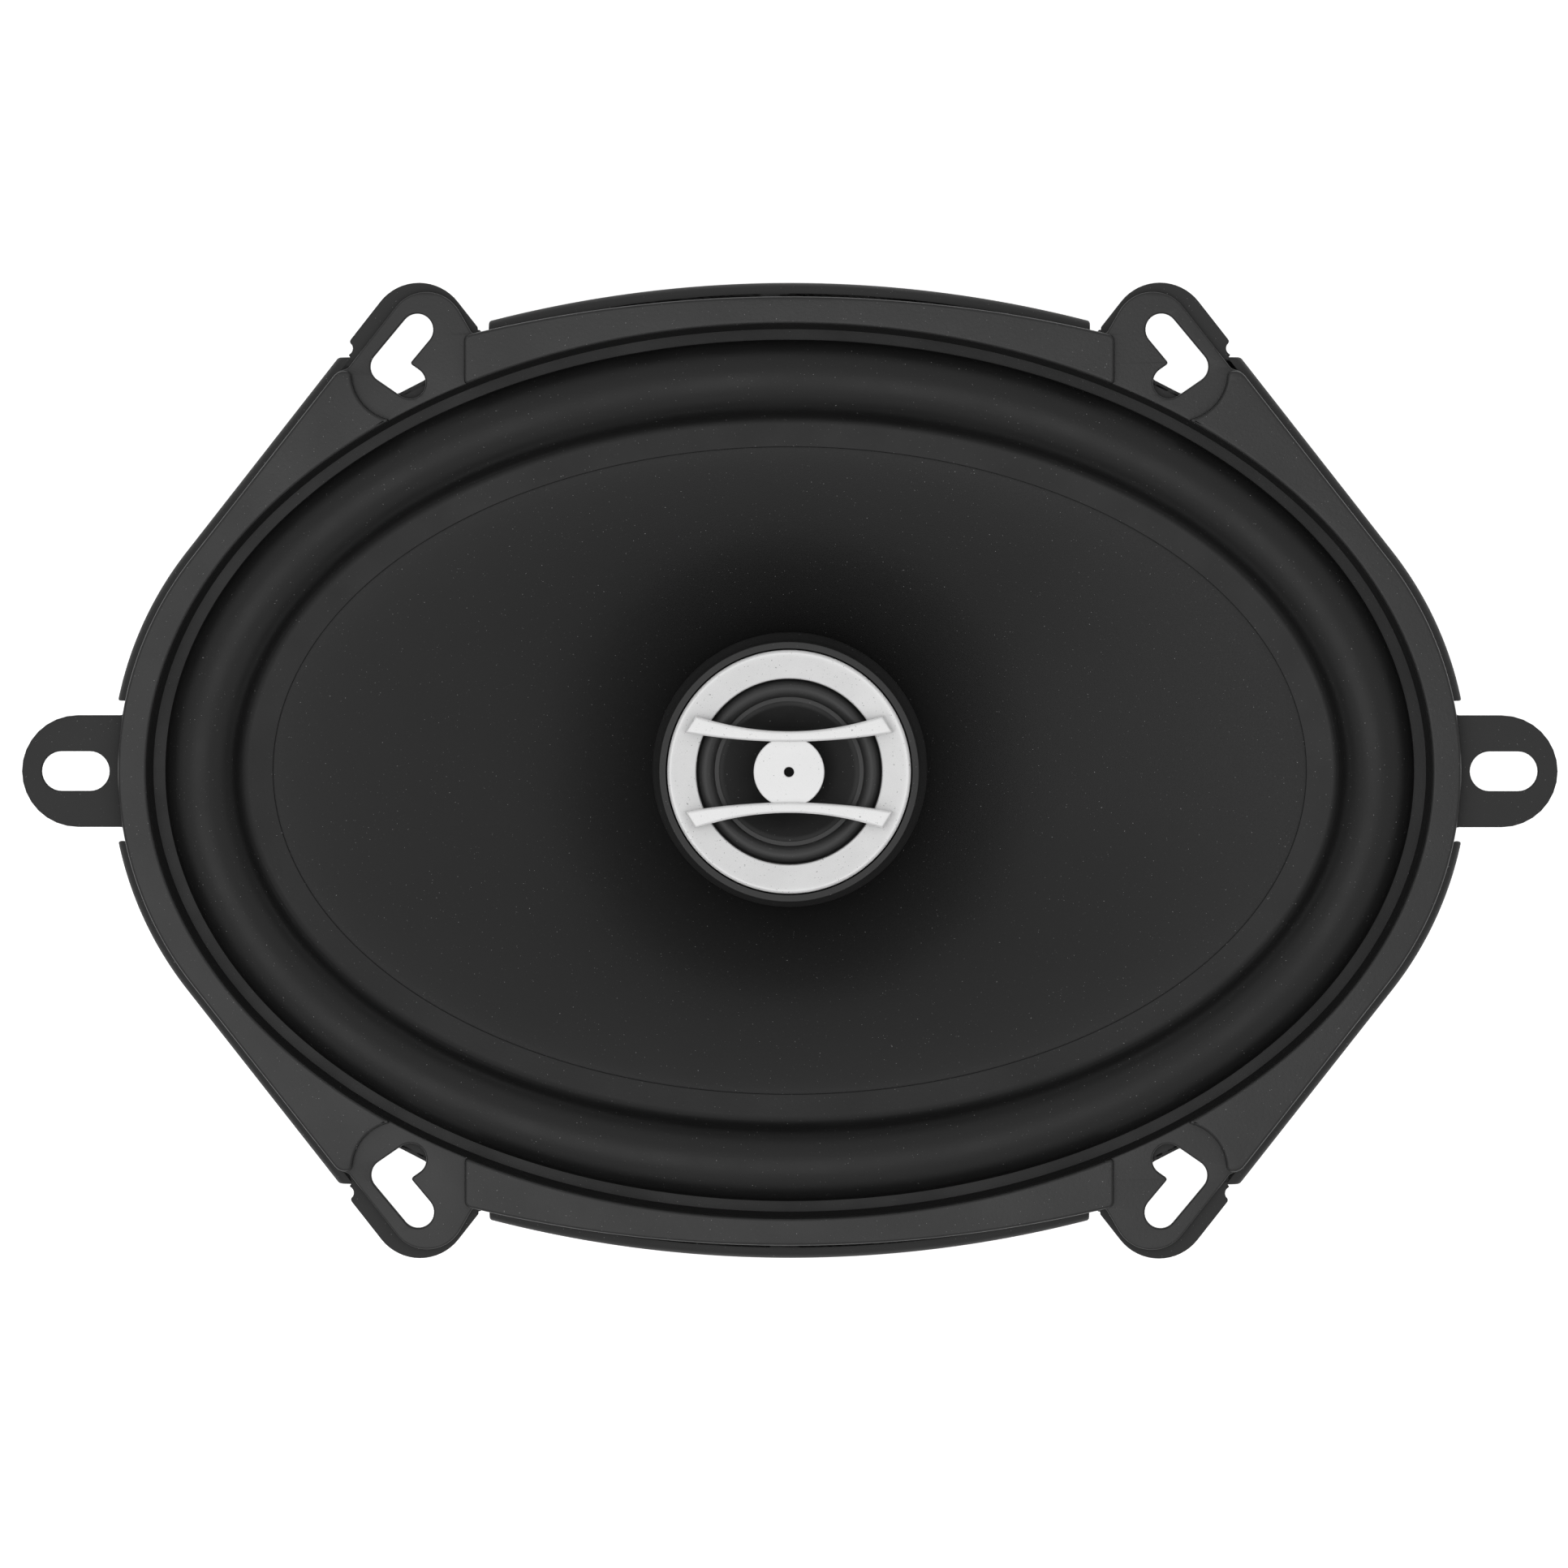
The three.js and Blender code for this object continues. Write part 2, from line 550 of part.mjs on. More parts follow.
function makeTopPlate() {
  let plate = toSolid(turned([
    [GAP_RADIUS, MAGNET_TOP], [YOKE_RADIUS, MAGNET_TOP],
    [YOKE_RADIUS, TOP_PLATE_TOP], [GAP_RADIUS, TOP_PLATE_TOP],
  ]));
  for (const [x, y] of rivetPlaces) plate = plate.subtract(toSolid(cylinder(x, y, RIVET_HOLE, 17, 24, 12)));
  return plate;
}

function makeNut() {
  const nut = new THREE.CylinderGeometry(7.5, 7.5, 4, 6).rotateX(Math.PI / 2).translate(0, 0, NUT_SEAT - 2);
  return toSolid(nut).subtract(toSolid(cylinder(0, 0, POST_RADIUS + 0.15, 0, 10, ROUND_SEGMENTS)));
}

// Head on top, shank below.
function rivet(x, y, headRadius, shankRadius, shankBottom, seat, headTop) {
  return turned([
    [0, shankBottom], [shankRadius, shankBottom], [shankRadius, seat], [headRadius, seat],
    [headRadius * 0.75, headTop], [0, headTop],
  ], 12).translate(x, y, 0);
}

// ---------- terminals and wiring ----------

const BOARD = { half: 14, from: -47.2, to: -61, thickness: 1.6 };
const BOARD_TOP = SPIDER_LEDGE + BOARD.thickness;
const BLADE_THICKNESS = 0.8;
const BLADE_TOP = BOARD_TOP + BLADE_THICKNESS;
const TERMINAL_X = 8.5;
const TERMINAL_RIVET_Y = -54;

function makeBoard() {
  let board = toSolid(box(-BOARD.half, BOARD.half, BOARD.to, BOARD.from, SPIDER_LEDGE, BOARD_TOP));
  for (const x of [-TERMINAL_X, 0, TERMINAL_X]) {
    const y = x === 0 ? BOARD_RIVET[1] : TERMINAL_RIVET_Y;
    board = board.subtract(toSolid(cylinder(x, y, BOARD_HOLE, 30, 36, 12)));
  }
  return board;
}

// Flat spade with chamfered tip, riveted on the board.
function makeBlade(x, width) {
  const half = width / 2;
  const root = -49;
  const tip = -67.2;
  const shape = new THREE.Shape();
  shape.moveTo(x - half, root);
  shape.lineTo(x - half, tip + 1.2);
  shape.lineTo(x - half + 1, tip);
  shape.lineTo(x + half - 1, tip);
  shape.lineTo(x + half, tip + 1.2);
  shape.lineTo(x + half, root);
  const blade = toSolid(extruded(shape, BOARD_TOP, BLADE_TOP));
  return blade.subtract(toSolid(cylinder(x, TERMINAL_RIVET_Y, BOARD_HOLE, 30, 36, 12)));
}

const CAPACITOR = { x: 21.2, y: -36.8, z: 26.4, radius: 3.9, length: 15, turn: 30 };

function makeCapacitor() {
  const { x, y, z, radius, length, turn } = CAPACITOR;
  const half = length / 2;
  const can = turned([
    [0, -half], [radius - 0.3, -half], [radius, 0.3 - half], [radius, half - 1.8], [radius - 0.4, half - 1.4],
    [radius, half - 1], [radius - 0.3, half], [0, half],
  ], 24);
  return can.rotateY(Math.PI / 2).rotateZ(THREE.MathUtils.degToRad(turn)).translate(x, y, z);
}

// From the pod's cavity down the hollow post, out along the yoke's groove and up past the magnet.
function tweeterWirePath(side) {
  return [
    [side * 15, 0, 56.8],
    [side * 15, 0, 52],
    [side * 14.2, 0, 49.6],
    [side * 12, 0, 48.75],
    [side * 4.4, 0, 48.6],
    [side * 1.9, 0, 47.4],
    [side * 0.95, 0, 45.2],
    [side * 0.95, 0, 30],
    [side * 0.95, 0, 8],
    [side * 0.95, -0.1, 3.8],
    [side * 0.95, -1.3, 1.9],
    [side * 0.95, -3.4, 1.2],
    [side * 0.95, -12, 1.15],
    [side * 0.95, -36, 1.15],
    [side * 0.95, -39.8, 1.9],
    [side * 0.95, -41.4, 4.6],
    [side * 0.95, -41.4, 16],
  ];
}

const positiveWireTail = [
  [2.6, -42.6, 21.5], [7, -44.4, 24.8], [10.6, -43.6, 26.2], [12.9, -42.02, 26.4], [14.5, -41.1, 26.4],
];
const negativeWireTail = [
  [-3.4, -43, 21.5], [-10, -46.6, 25.5], [-15.6, -49.6, 30], [-15.4, -50.8, 34.6], [-12, -50.8, 36.2],
  [-9.2, -50.6, 35.3],
];
const capacitorLeadPath = [
  [28.25, -33.15, 26.4], [30, -32.3, 26.5], [33.8, -33.4, 27.6], [34.6, -38, 29.6], [30, -43.6, 31.8],
  [21, -49.6, 34.4], [13.5, -51, 36], [9.2, -50.6, 35.3],
];

// Braided lead from a terminal through the window to the rear of the cone.
function tinselPath(side) {
  return [
    [side * 8.5, -49.6, 35.05],
    [side * 8.4, -48.2, 36.6],
    [side * 8.2, -45, 38.4],
    [side * 7.7, -39.5, 39.4],
    [side * 7.1, -33.5, 41],
    [side * 6.7, -29, 43.4],
    [side * 6.5, -27.2, 44.8],
  ];
}

// ---------- assembly ----------

// A thin tube, given by its inner and outer radius and its ends.
function sleeve(inner, outer, bottom, top) {
  return turned([[inner, bottom], [outer, bottom], [outer, top], [inner, top]]);
}

// A disc standing on the axis.
function disc(radius, bottom, top) {
  return turned([[0, bottom], [radius, bottom], [radius, top], [0, top]]);
}

addPart("basket_frame", makeBasket(), ...blackSteel);
addPart("front_gasket", makeGasket(), 0x3c3c3c, 0.6, 0);
addPart("woofer_surround", makeSurround(), ...rubber);
addPart("woofer_cone", makeCone(), 0x303030, 0.6, 0);
addPart("spider", makeSpider(), 0xa8863c, 0.9, 0);
addPart("voice_coil_former", sleeve(COIL_FORMER_INNER, COIL_FORMER_OUTER, 13, 36.5), ...formerFilm);
addPart("voice_coil_winding", sleeve(COIL_FORMER_OUTER + 0.01, COIL_OUTER, 16, 25), ...copper);

addPart("pole_yoke", makeYoke(), ...platedSteel);
addPart("ferrite_magnet", turned([
  [20, YOKE_PLATE_TOP], [MAGNET_RADIUS - 1, YOKE_PLATE_TOP], [MAGNET_RADIUS, YOKE_PLATE_TOP + 1],
  [MAGNET_RADIUS, MAGNET_TOP - 1], [MAGNET_RADIUS - 1, MAGNET_TOP], [20, MAGNET_TOP],
]), 0x3a3a3c, 0.75, 0.1);
addPart("top_plate", makeTopPlate(), ...platedSteel);
rivetPlaces.forEach(([x, y], k) => {
  const shape = rivet(x, y, 2.6, 1.5, MAGNET_TOP + 0.5, TOP_PLATE_TOP + SHEET, 24.8);
  addPart(`chassis_rivet_${k + 1}`, shape, ...platedSteel);
});

addPart("terminal_board", makeBoard(), 0x5a3a22, 0.7, 0);
addPart("positive_terminal", makeBlade(TERMINAL_X, 6.3), 0xc9a24a, 0.35, 0.9);
addPart("negative_terminal", makeBlade(-TERMINAL_X, 4.8), ...platedSteel);
for (const [name, x] of [["positive_terminal_rivet", TERMINAL_X], ["negative_terminal_rivet", -TERMINAL_X]]) {
  addPart(name, rivet(x, TERMINAL_RIVET_Y, 1.9, 1, 31.4, BLADE_TOP, BLADE_TOP + 0.9), ...platedSteel);
}
addPart("board_rivet", rivet(...BOARD_RIVET, 2, 1, 30.2, BOARD_TOP, BOARD_TOP + 0.9), ...platedSteel);
addPart("positive_tinsel_lead", wire(tinselPath(1), 0.5), ...braid);
addPart("negative_tinsel_lead", wire(tinselPath(-1), 0.5), ...braid);
addPart("crossover_capacitor", makeCapacitor(), 0x20304a, 0.4, 0);
addPart("capacitor_lead", wire(capacitorLeadPath, WIRE_RADIUS), ...redWire);
const positivePath = [...tweeterWirePath(1), ...positiveWireTail];
const negativePath = [...tweeterWirePath(-1), ...negativeWireTail];
addPart("tweeter_lead_positive", wire(positivePath, WIRE_RADIUS), ...redWire);
addPart("tweeter_lead_negative", wire(negativePath, WIRE_RADIUS), ...blackWire);

addPart("tweeter_post", turned([
  [1.9, 3.4], [POST_RADIUS, 3.4], [POST_RADIUS, 44], [8, 44.5], [8, POD_FLOOR], [1.9, POD_FLOOR],
]), ...blackPlastic);
addPart("post_nut", makeNut(), ...platedSteel);
addPart("tweeter_pod", makePod(), ...blackPlastic);
addPart("tweeter_pot", turned([
  [0, 50], [12.3, 50], [12.8, 50.5], [12.8, 56.6], [10.85, 56.6], [10.85, 51.4], [0, 51.4],
]), ...platedSteel);
addPart("tweeter_magnet", disc(9, 51.4, 54.6), 0xb4b4b8, 0.3, 1);
addPart("tweeter_pole_washer", disc(9.7, 54.6, 56.2), ...platedSteel);
addPart("tweeter_coil_former", sleeve(9.95, 10.15, 54.4, DOME_LIP - 0.25), ...formerFilm);
addPart("tweeter_coil_winding", sleeve(10.16, 10.5, 54.4, 56.6), ...copper);
addPart("tweeter_dome", makeTweeterDome(), 0x181818, 0.4, 0);
addPart("tweeter_surround", makeTweeterSurround(), ...rubber);
addPart("tweeter_mount_ring", turned([
  [13.2, POD_SHELF], [17.6, POD_SHELF], [17.6, DOME_LIP], [14.8, DOME_LIP], [14.8, DOME_LIP - 0.25],
  [13.2, DOME_LIP - 0.25],
]), ...blackPlastic);
addPart("tweeter_guard", makeGuard(), 0xd9d9d9, 0.35, 0.4);

export default parts;
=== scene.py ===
"""Looks of an oval two-way coaxial car loudspeaker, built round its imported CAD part.

Sizes below are in millimetres, in the part's own frame: z = 0 is the rear face of the yoke, +Z the front.
They become metres when a mesh is made.
"""

import json
import math

import bmesh
import bpy
from mathutils import Matrix, Vector
from mathutils.geometry import delaunay_2d_cdt


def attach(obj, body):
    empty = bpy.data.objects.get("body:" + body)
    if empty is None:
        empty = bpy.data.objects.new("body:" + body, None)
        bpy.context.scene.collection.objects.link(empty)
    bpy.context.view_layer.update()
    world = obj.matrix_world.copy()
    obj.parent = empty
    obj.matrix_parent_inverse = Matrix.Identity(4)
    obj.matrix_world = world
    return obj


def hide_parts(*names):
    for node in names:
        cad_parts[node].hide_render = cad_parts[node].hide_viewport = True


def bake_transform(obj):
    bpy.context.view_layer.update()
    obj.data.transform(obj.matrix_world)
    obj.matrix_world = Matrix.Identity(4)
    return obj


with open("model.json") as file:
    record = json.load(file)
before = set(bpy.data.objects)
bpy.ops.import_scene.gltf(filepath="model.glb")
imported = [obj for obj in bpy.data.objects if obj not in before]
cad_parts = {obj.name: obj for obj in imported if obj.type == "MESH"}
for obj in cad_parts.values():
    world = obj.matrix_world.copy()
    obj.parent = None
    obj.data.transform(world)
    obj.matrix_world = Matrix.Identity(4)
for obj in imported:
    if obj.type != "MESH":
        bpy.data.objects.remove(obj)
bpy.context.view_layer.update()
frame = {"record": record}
BODY_OF = {node: body for body, nodes in frame["record"]["behaviour"]["bodies"].items() for node in nodes}
MM = 0.001
ROUND = 128  # steps round a turned part
OVAL = 288  # steps round the basket, cone and surround
SOFT_EDGE = 50  # degrees; a soft piece stays smooth over any edge blunter than this

# ---------- sizes shared with the CAD part ----------

FLANGE_TOP = 58.0
GASKET_TOP = 61.0
EAR_POCKET = 59.4
SHEET = 1.0
SPIDER_LEDGE = 32.0
SURROUND_LEDGE = 55.5
TOP_PLATE_TOP = 22.5
LIP_DEPTH = 3.5
LIP_BEND = 1.3  # outside radius of the flange's turned rim

FLANK = math.radians(38.1)  # direction of the flank's normal
FLANGE_OUTLINE = {"centre": 47.5, "end": 52.0, "flank_top": 61.0, "rim": 175.6, "top": 71.5}
GASKET_OUTLINE = {"centre": 47.7, "end": 50.5, "flank_top": 58.5, "rim": 201.0, "top": 69.4}
RIM_HALF_LENGTH = 60.0
TOP_LIP_END = 44.0
FLANK_LIP_TOP = 60.6
SIDE_LIP_END = 10.3

ROLL_OUTER = (91.6, 63.2)
ROLL_INNER = (80.7, 52.0)
CONE_SHOULDER = (75.8, 47.5)
CONE_NECK = 12.85
RIM_TOP = 55.2
NECK_TOP = 36.0
SURROUND_SEAT = (94.3, 65.8)
ROLL_CROWN = 60.3
ROLL_SKIN = 0.6
FILLET_RUN = 1.3  # how far the roll's inner fillet reaches over the lip

SIDE_EAR = (104.3, 8.2)  # x of its round end, and its radius
SIDE_SLOT = (102.55, 106.65, 2.9)  # x of its two ends, and its radius
CORNER_EAR = (54.2, 64.3, 7.2)  # centre of its round end, and its radius
GASKET_EAR = (53.1, 64.5, 5.6)
RELIEF = (64.9, 61.9, 1.0)  # round notch between a corner ear and the turned rim
KEYHOLE = ((54.4, 64.6), (58.9, 59.2), (55.5, 56.85))
KEYHOLE_RADIUS = 2.33
KEYHOLE_EDGE = (55.75, 56.05, math.radians(-27.2))  # straight edge across the steel's keyhole, and its slope
GASKET_MOUTH = (94.0, 65.4)
POCKET = (57.0, 58.3, 7.0)  # round the screw in the gasket's band: the arc's centre and radius
POCKET_INNER = 47.5
POCKET_OUTER = 58.55
OUTSIDE = 76.0  # clear of every outline at a corner

DOME_LIP = 59.2
DOME_RADIUS = 9.9
DOME_SKIN = 0.25

YOKE_PLATE = 4.5
MAGNET_TOP = 18.5
RIVET_CIRCLE = 30.0
RIVET_ANGLES = RIB_ANGLES = (45, 135, 225, 315)  # degrees

BOARD_TOP = 33.6
BLADE_TOP = 34.4
TERMINAL_X = 8.5
TERMINAL_Y = -54.0
BOARD_RIVET_Y = -52.0
RIVET_HOLE = 1.15
WIRE_RADIUS = 0.65
BRAID_RADIUS = 0.5


# ---------- outlines in the XY plane ----------

def arc(x, y, radius, start, end, steps=16):
    """Points on a circle's arc, both ends included."""
    angles = [start + (end - start) * k / steps for k in range(steps + 1)]
    return [(x + radius * math.cos(t), y + radius * math.sin(t)) for t in angles]


def slot_outline(one, other, radius):
    """A round-ended bar between two points."""
    heading = math.atan2(other[1] - one[1], other[0] - one[0])
    quarter = math.pi / 2
    far = arc(*other, radius, heading - quarter, heading + quarter)
    near = arc(*one, radius, heading + quarter, heading + 3 * quarter)
    return far + near


def rectangle(x0, x1, y0, y1):
    return [(x0, y0), (x1, y0), (x1, y1), (x0, y1)]


def flank_corner(sizes, y, inset):
    """The point of the straight flank at height y."""
    reach = sizes["centre"] * math.cos(FLANK) + sizes["end"] - inset
    return (reach - y * math.sin(FLANK)) / math.cos(FLANK), y


def end_arc(sizes, inset, from_angle, steps=24):
    return arc(sizes["centre"], 0, sizes["end"] - inset, from_angle, FLANK, steps)


def rim_arc(sizes, inset, half_length, steps=32):
    """Half of the long rim, from x = half_length to the middle."""
    radius = sizes["rim"] - inset
    return arc(0, sizes["top"] - sizes["rim"], radius, math.acos(half_length / radius), math.pi / 2, steps)


def mirrored(points, x, y):
    """The points' mirror image, kept counter-clockwise when they run round the whole outline."""
    turned_over = [(px * x, py * y) for px, py in points]
    return turned_over[::-1] if x * y < 0 else turned_over


def all_quarters(points):
    return [mirrored(points, x, y) for x in (1, -1) for y in (1, -1)]


def oval_outline(sizes, inset=0.0):
    """Whole outline of the flange or gasket: round ends, straight flanks, long shallow rims."""
    corner = flank_corner(sizes, sizes["flank_top"] - inset, inset)
    quarter = end_arc(sizes, inset, 0) + [corner] + rim_arc(sizes, inset, RIM_HALF_LENGTH)
    return (quarter[:-1] + mirrored(quarter, -1, 1)[:-1]
            + mirrored(quarter, -1, -1)[:-1] + mirrored(quarter, 1, -1)[:-1])


def ellipse(half_length, half_height, steps=OVAL):
    angles = [2 * math.pi * k / steps for k in range(steps)]
    return [(half_length * math.cos(t), half_height * math.sin(t)) for t in angles]


def hole(x, y, radius, steps=24):
    return [(x + px, y + py) for px, py in ellipse(radius, radius, steps)]


def ear_outline(ear, outer_run, inner_run, inner_angle):
    """A corner ear: a round tip whose sides run back into the plate."""
    x, y, radius = ear
    tip = arc(x, y, radius, FLANK, inner_angle)
    outer = (tip[0][0] + outer_run * math.sin(FLANK), tip[0][1] - outer_run * math.cos(FLANK))
    inner = (tip[-1][0] - inner_run * math.sin(inner_angle), tip[-1][1] + inner_run * math.cos(inner_angle))
    return [outer] + tip + [inner]


def area_of(loop):
    return sum(a[0] * b[1] - b[0] * a[1] for a, b in zip(loop, loop[1:] + loop[:1])) / 2


def region(add, cut=()):
    """Boundary loops of the union of the outlines in add, less those in cut."""
    points, faces = [], []
    for loop in list(add) + list(cut):
        ordered = loop if area_of(loop) > 0 else loop[::-1]
        faces.append(list(range(len(points), len(points) + len(ordered))))
        points += [Vector(p) for p in ordered]
    places, _, triangles, _, _, owners = delaunay_2d_cdt(points, [], faces, 1, 1e-5)
    kept = [
        triangle for triangle, owner in zip(triangles, owners)
        if any(f < len(add) for f in owner) and not any(f >= len(add) for f in owner)
    ]
    edges = {(t[k], t[k - 2]) for t in kept for k in range(3)}
    onward = {a: b for a, b in edges if (b, a) not in edges}
    loops = []
    while onward:
        start = next(iter(onward))
        loop = [start]
        following = onward.pop(start)
        while following != start:
            loop.append(following)
            following = onward.pop(following)
        loops.append([tuple(places[k]) for k in loop])
    return [loop for loop in loops if abs(area_of(loop)) > 0.02]


def bend(start, corner, end, steps):
    """Points of the quadratic curve from start to end that the corner between them pulls out."""
    shares = [k / steps for k in range(steps + 1)]
    return [start * (1 - t) ** 2 + corner * 2 * t * (1 - t) + end * t ** 2 for t in shares]


def eased(loop, radius, sharp_degrees=35, steps=6):
    """The loop with its sharp corners rounded off."""
    points = [Vector(p) for p in loop]
    count = len(points)
    along = [0.0]
    for k in range(count):
        along.append(along[-1] + (points[(k + 1) % count] - points[k]).length)
    total = along.pop()

    def at_length(s):
        s %= total
        k = max(n for n in range(count) if along[n] <= s)
        end = along[k + 1] if k + 1 < count else total
        return points[k].lerp(points[(k + 1) % count], (s - along[k]) / max(end - along[k], 1e-9))

    corners = []
    for k in range(count):
        before = points[k] - points[k - 1]
        after = points[(k + 1) % count] - points[k]
        if before.length and after.length and abs(before.angle_signed(after)) > math.radians(sharp_degrees):
            corners.append(k)
    reach = {}
    for n, k in enumerate(corners):
        gap_back = (along[k] - along[corners[n - 1]]) % total or total
        gap_ahead = (along[corners[(n + 1) % len(corners)]] - along[k]) % total or total
        reach[k] = min(radius, gap_back * 0.45, gap_ahead * 0.45)

    def clear_of(k, corner):
        apart = (along[k] - along[corner]) % total
        return min(apart, (total - apart) % total) > reach[corner]

    made = []
    for k in range(count):
        if k in reach:
            made += bend(at_length(along[k] - reach[k]), points[k], at_length(along[k] + reach[k]), steps)
        elif all(clear_of(k, corner) for corner in corners):
            made.append(points[k])
    return [tuple(p) for p in made]


# ---------- meshes ----------

def mesh_from(points, faces):
    mesh = bpy.data.meshes.new("shape")
    mesh.from_pydata([[c * MM for c in p] for p in points], [], faces)
    return mesh


def at(x, y, z=0.0):
    return Matrix.Translation((x * MM, y * MM, z * MM))


def moved(mesh, matrix):
    mesh.transform(matrix)
    return mesh


def linked(name, data):
    """A new object of the scene."""
    thing = bpy.data.objects.new(name, data)
    bpy.context.scene.collection.objects.link(thing)
    return thing


def evaluated_mesh(thing):
    """The object's mesh with its modifiers or curve settings carried out."""
    bpy.context.view_layer.update()
    return bpy.data.meshes.new_from_object(thing.evaluated_get(bpy.context.evaluated_depsgraph_get()))


def mesh_of_curve(curve):
    maker = linked("maker", curve)
    mesh = evaluated_mesh(maker)
    bpy.data.objects.remove(maker)
    return mesh


def plate(loops, bottom, top, bevel, steps=3):
    """A flat plate bounded by the loops, with rounded edges."""
    curve = bpy.data.curves.new("plate", "CURVE")
    curve.dimensions = "2D"
    curve.fill_mode = "BOTH"
    curve.extrude = ((top - bottom) / 2 - bevel) * MM
    curve.bevel_depth = bevel * MM
    curve.bevel_resolution = steps
    curve.offset = -bevel * MM
    for loop in loops:
        spline = curve.splines.new("POLY")
        spline.points.add(len(loop) - 1)
        for point, (x, y) in zip(spline.points, loop):
            point.co = (x * MM, y * MM, 0, 1)
        spline.use_cyclic_u = True
    return moved(mesh_of_curve(curve), at(0, 0, (bottom + top) / 2))


def softened(section, radii, steps=4):
    """A closed section whose corners are rounded, each by its own radius."""
    made = []
    for k, corner in enumerate(section):
        here = Vector(corner)
        if not radii[k]:
            made.append(here)
            continue
        back = Vector(section[k - 1]) - here
        ahead = Vector(section[(k + 1) % len(section)]) - here
        start = here + back.normalized() * min(radii[k], back.length * 0.48)
        end = here + ahead.normalized() * min(radii[k], ahead.length * 0.48)
        made += bend(start, here, end, steps)
    return made


def swept_faces(rows, count, sweeps):
    """Faces of a section of count points swept on from each of the first sweeps rows to the next."""
    faces = []
    for k in range(sweeps):
        here, there = k * count, (k + 1) % rows * count
        for n in range(count):
            after = (n + 1) % count
            faces.append((here + n, there + n, there + after, here + after))
    return faces


def oval_ring(section, steps=OVAL, shift=None):
    """A closed ring from a section of (half length, half height, z) points.

    shift, where given, moves a point of the ring: it takes the angle and the point.
    """
    points = []
    for k in range(steps):
        angle = 2 * math.pi * k / steps
        for a, b, z in section:
            point = (a * math.cos(angle), b * math.sin(angle), z)
            points.append(shift(angle, point) if shift else point)
    return mesh_from(points, swept_faces(steps, len(section), steps))


def turned(profile, radii=0, steps=ROUND):
    """A part turned about Z from (radius, z) points, counter-clockwise. On the axis it closes on itself.

    radii rounds the corners: one radius for all those off the axis, or a list with one for each.
    """
    if not isinstance(radii, list):
        radii = [radii if r else 0 for r, _ in profile]
    return oval_ring(softened([(r, r, z) for r, z in profile], radii), steps)


def tube(points, radius):
    """A round wire through the points, with closed ends."""
    curve = bpy.data.curves.new("tube", "CURVE")
    curve.dimensions = "3D"
    curve.bevel_depth = radius * MM
    curve.bevel_resolution = 4
    curve.resolution_u = 10
    curve.use_fill_caps = True
    spline = curve.splines.new("BEZIER")
    spline.bezier_points.add(len(points) - 1)
    for bezier, place in zip(spline.bezier_points, points):
        bezier.co = [c * MM for c in place]
        bezier.handle_left_type = "AUTO"
        bezier.handle_right_type = "AUTO"
    return mesh_of_curve(curve)


def joined(meshes, sharp_degrees=32):
    """One clean mesh from several, smooth apart from its sharp edges."""
    builder = bmesh.new()
    for mesh in meshes:
        builder.from_mesh(mesh)
    bmesh.ops.remove_doubles(builder, verts=builder.verts, dist=1e-7)
    bmesh.ops.dissolve_degenerate(builder, edges=builder.edges, dist=1e-7)
    bmesh.ops.recalc_face_normals(builder, faces=builder.faces)
    made = bpy.data.meshes.new("piece")
    builder.to_mesh(made)
    builder.free()
    made.shade_smooth()
    made.set_sharp_from_angle(angle=math.radians(sharp_degrees))
    return made


def cut_away(mesh, tools):
    """The mesh less the closed meshes in tools."""
    body = linked("body", mesh)
    helpers = []
    for tool in tools:
        helper = linked("tool", joined([tool]))
        helpers.append(helper)
        boolean = body.modifiers.new("cut", "BOOLEAN")
        boolean.operation = "DIFFERENCE"
        boolean.solver = "EXACT"
        boolean.object = helper
    made = evaluated_mesh(body)
    for thing in [body] + helpers:
        bpy.data.objects.remove(thing)
    return made


def add_piece(name, node, meshes, material, sharp_degrees=32, rides=True):
    """A finished piece that stands for a CAD node and moves with that node's body."""
    thing = linked(name, joined(meshes, sharp_degrees))
    thing.data.materials.append(MATERIALS[material])
    weighted = thing.modifiers.new("even_normals", "WEIGHTED_NORMAL")
    weighted.keep_sharp = True
    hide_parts(node)
    if rides:
        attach(thing, BODY_OF[node])
    return thing


# ---------- materials ----------

MATERIALS = {}  # by the record's slot names; a lighter copy of the rubber for the tweeter roll, its extra lightness painted sheen, and the floor's paper are here too
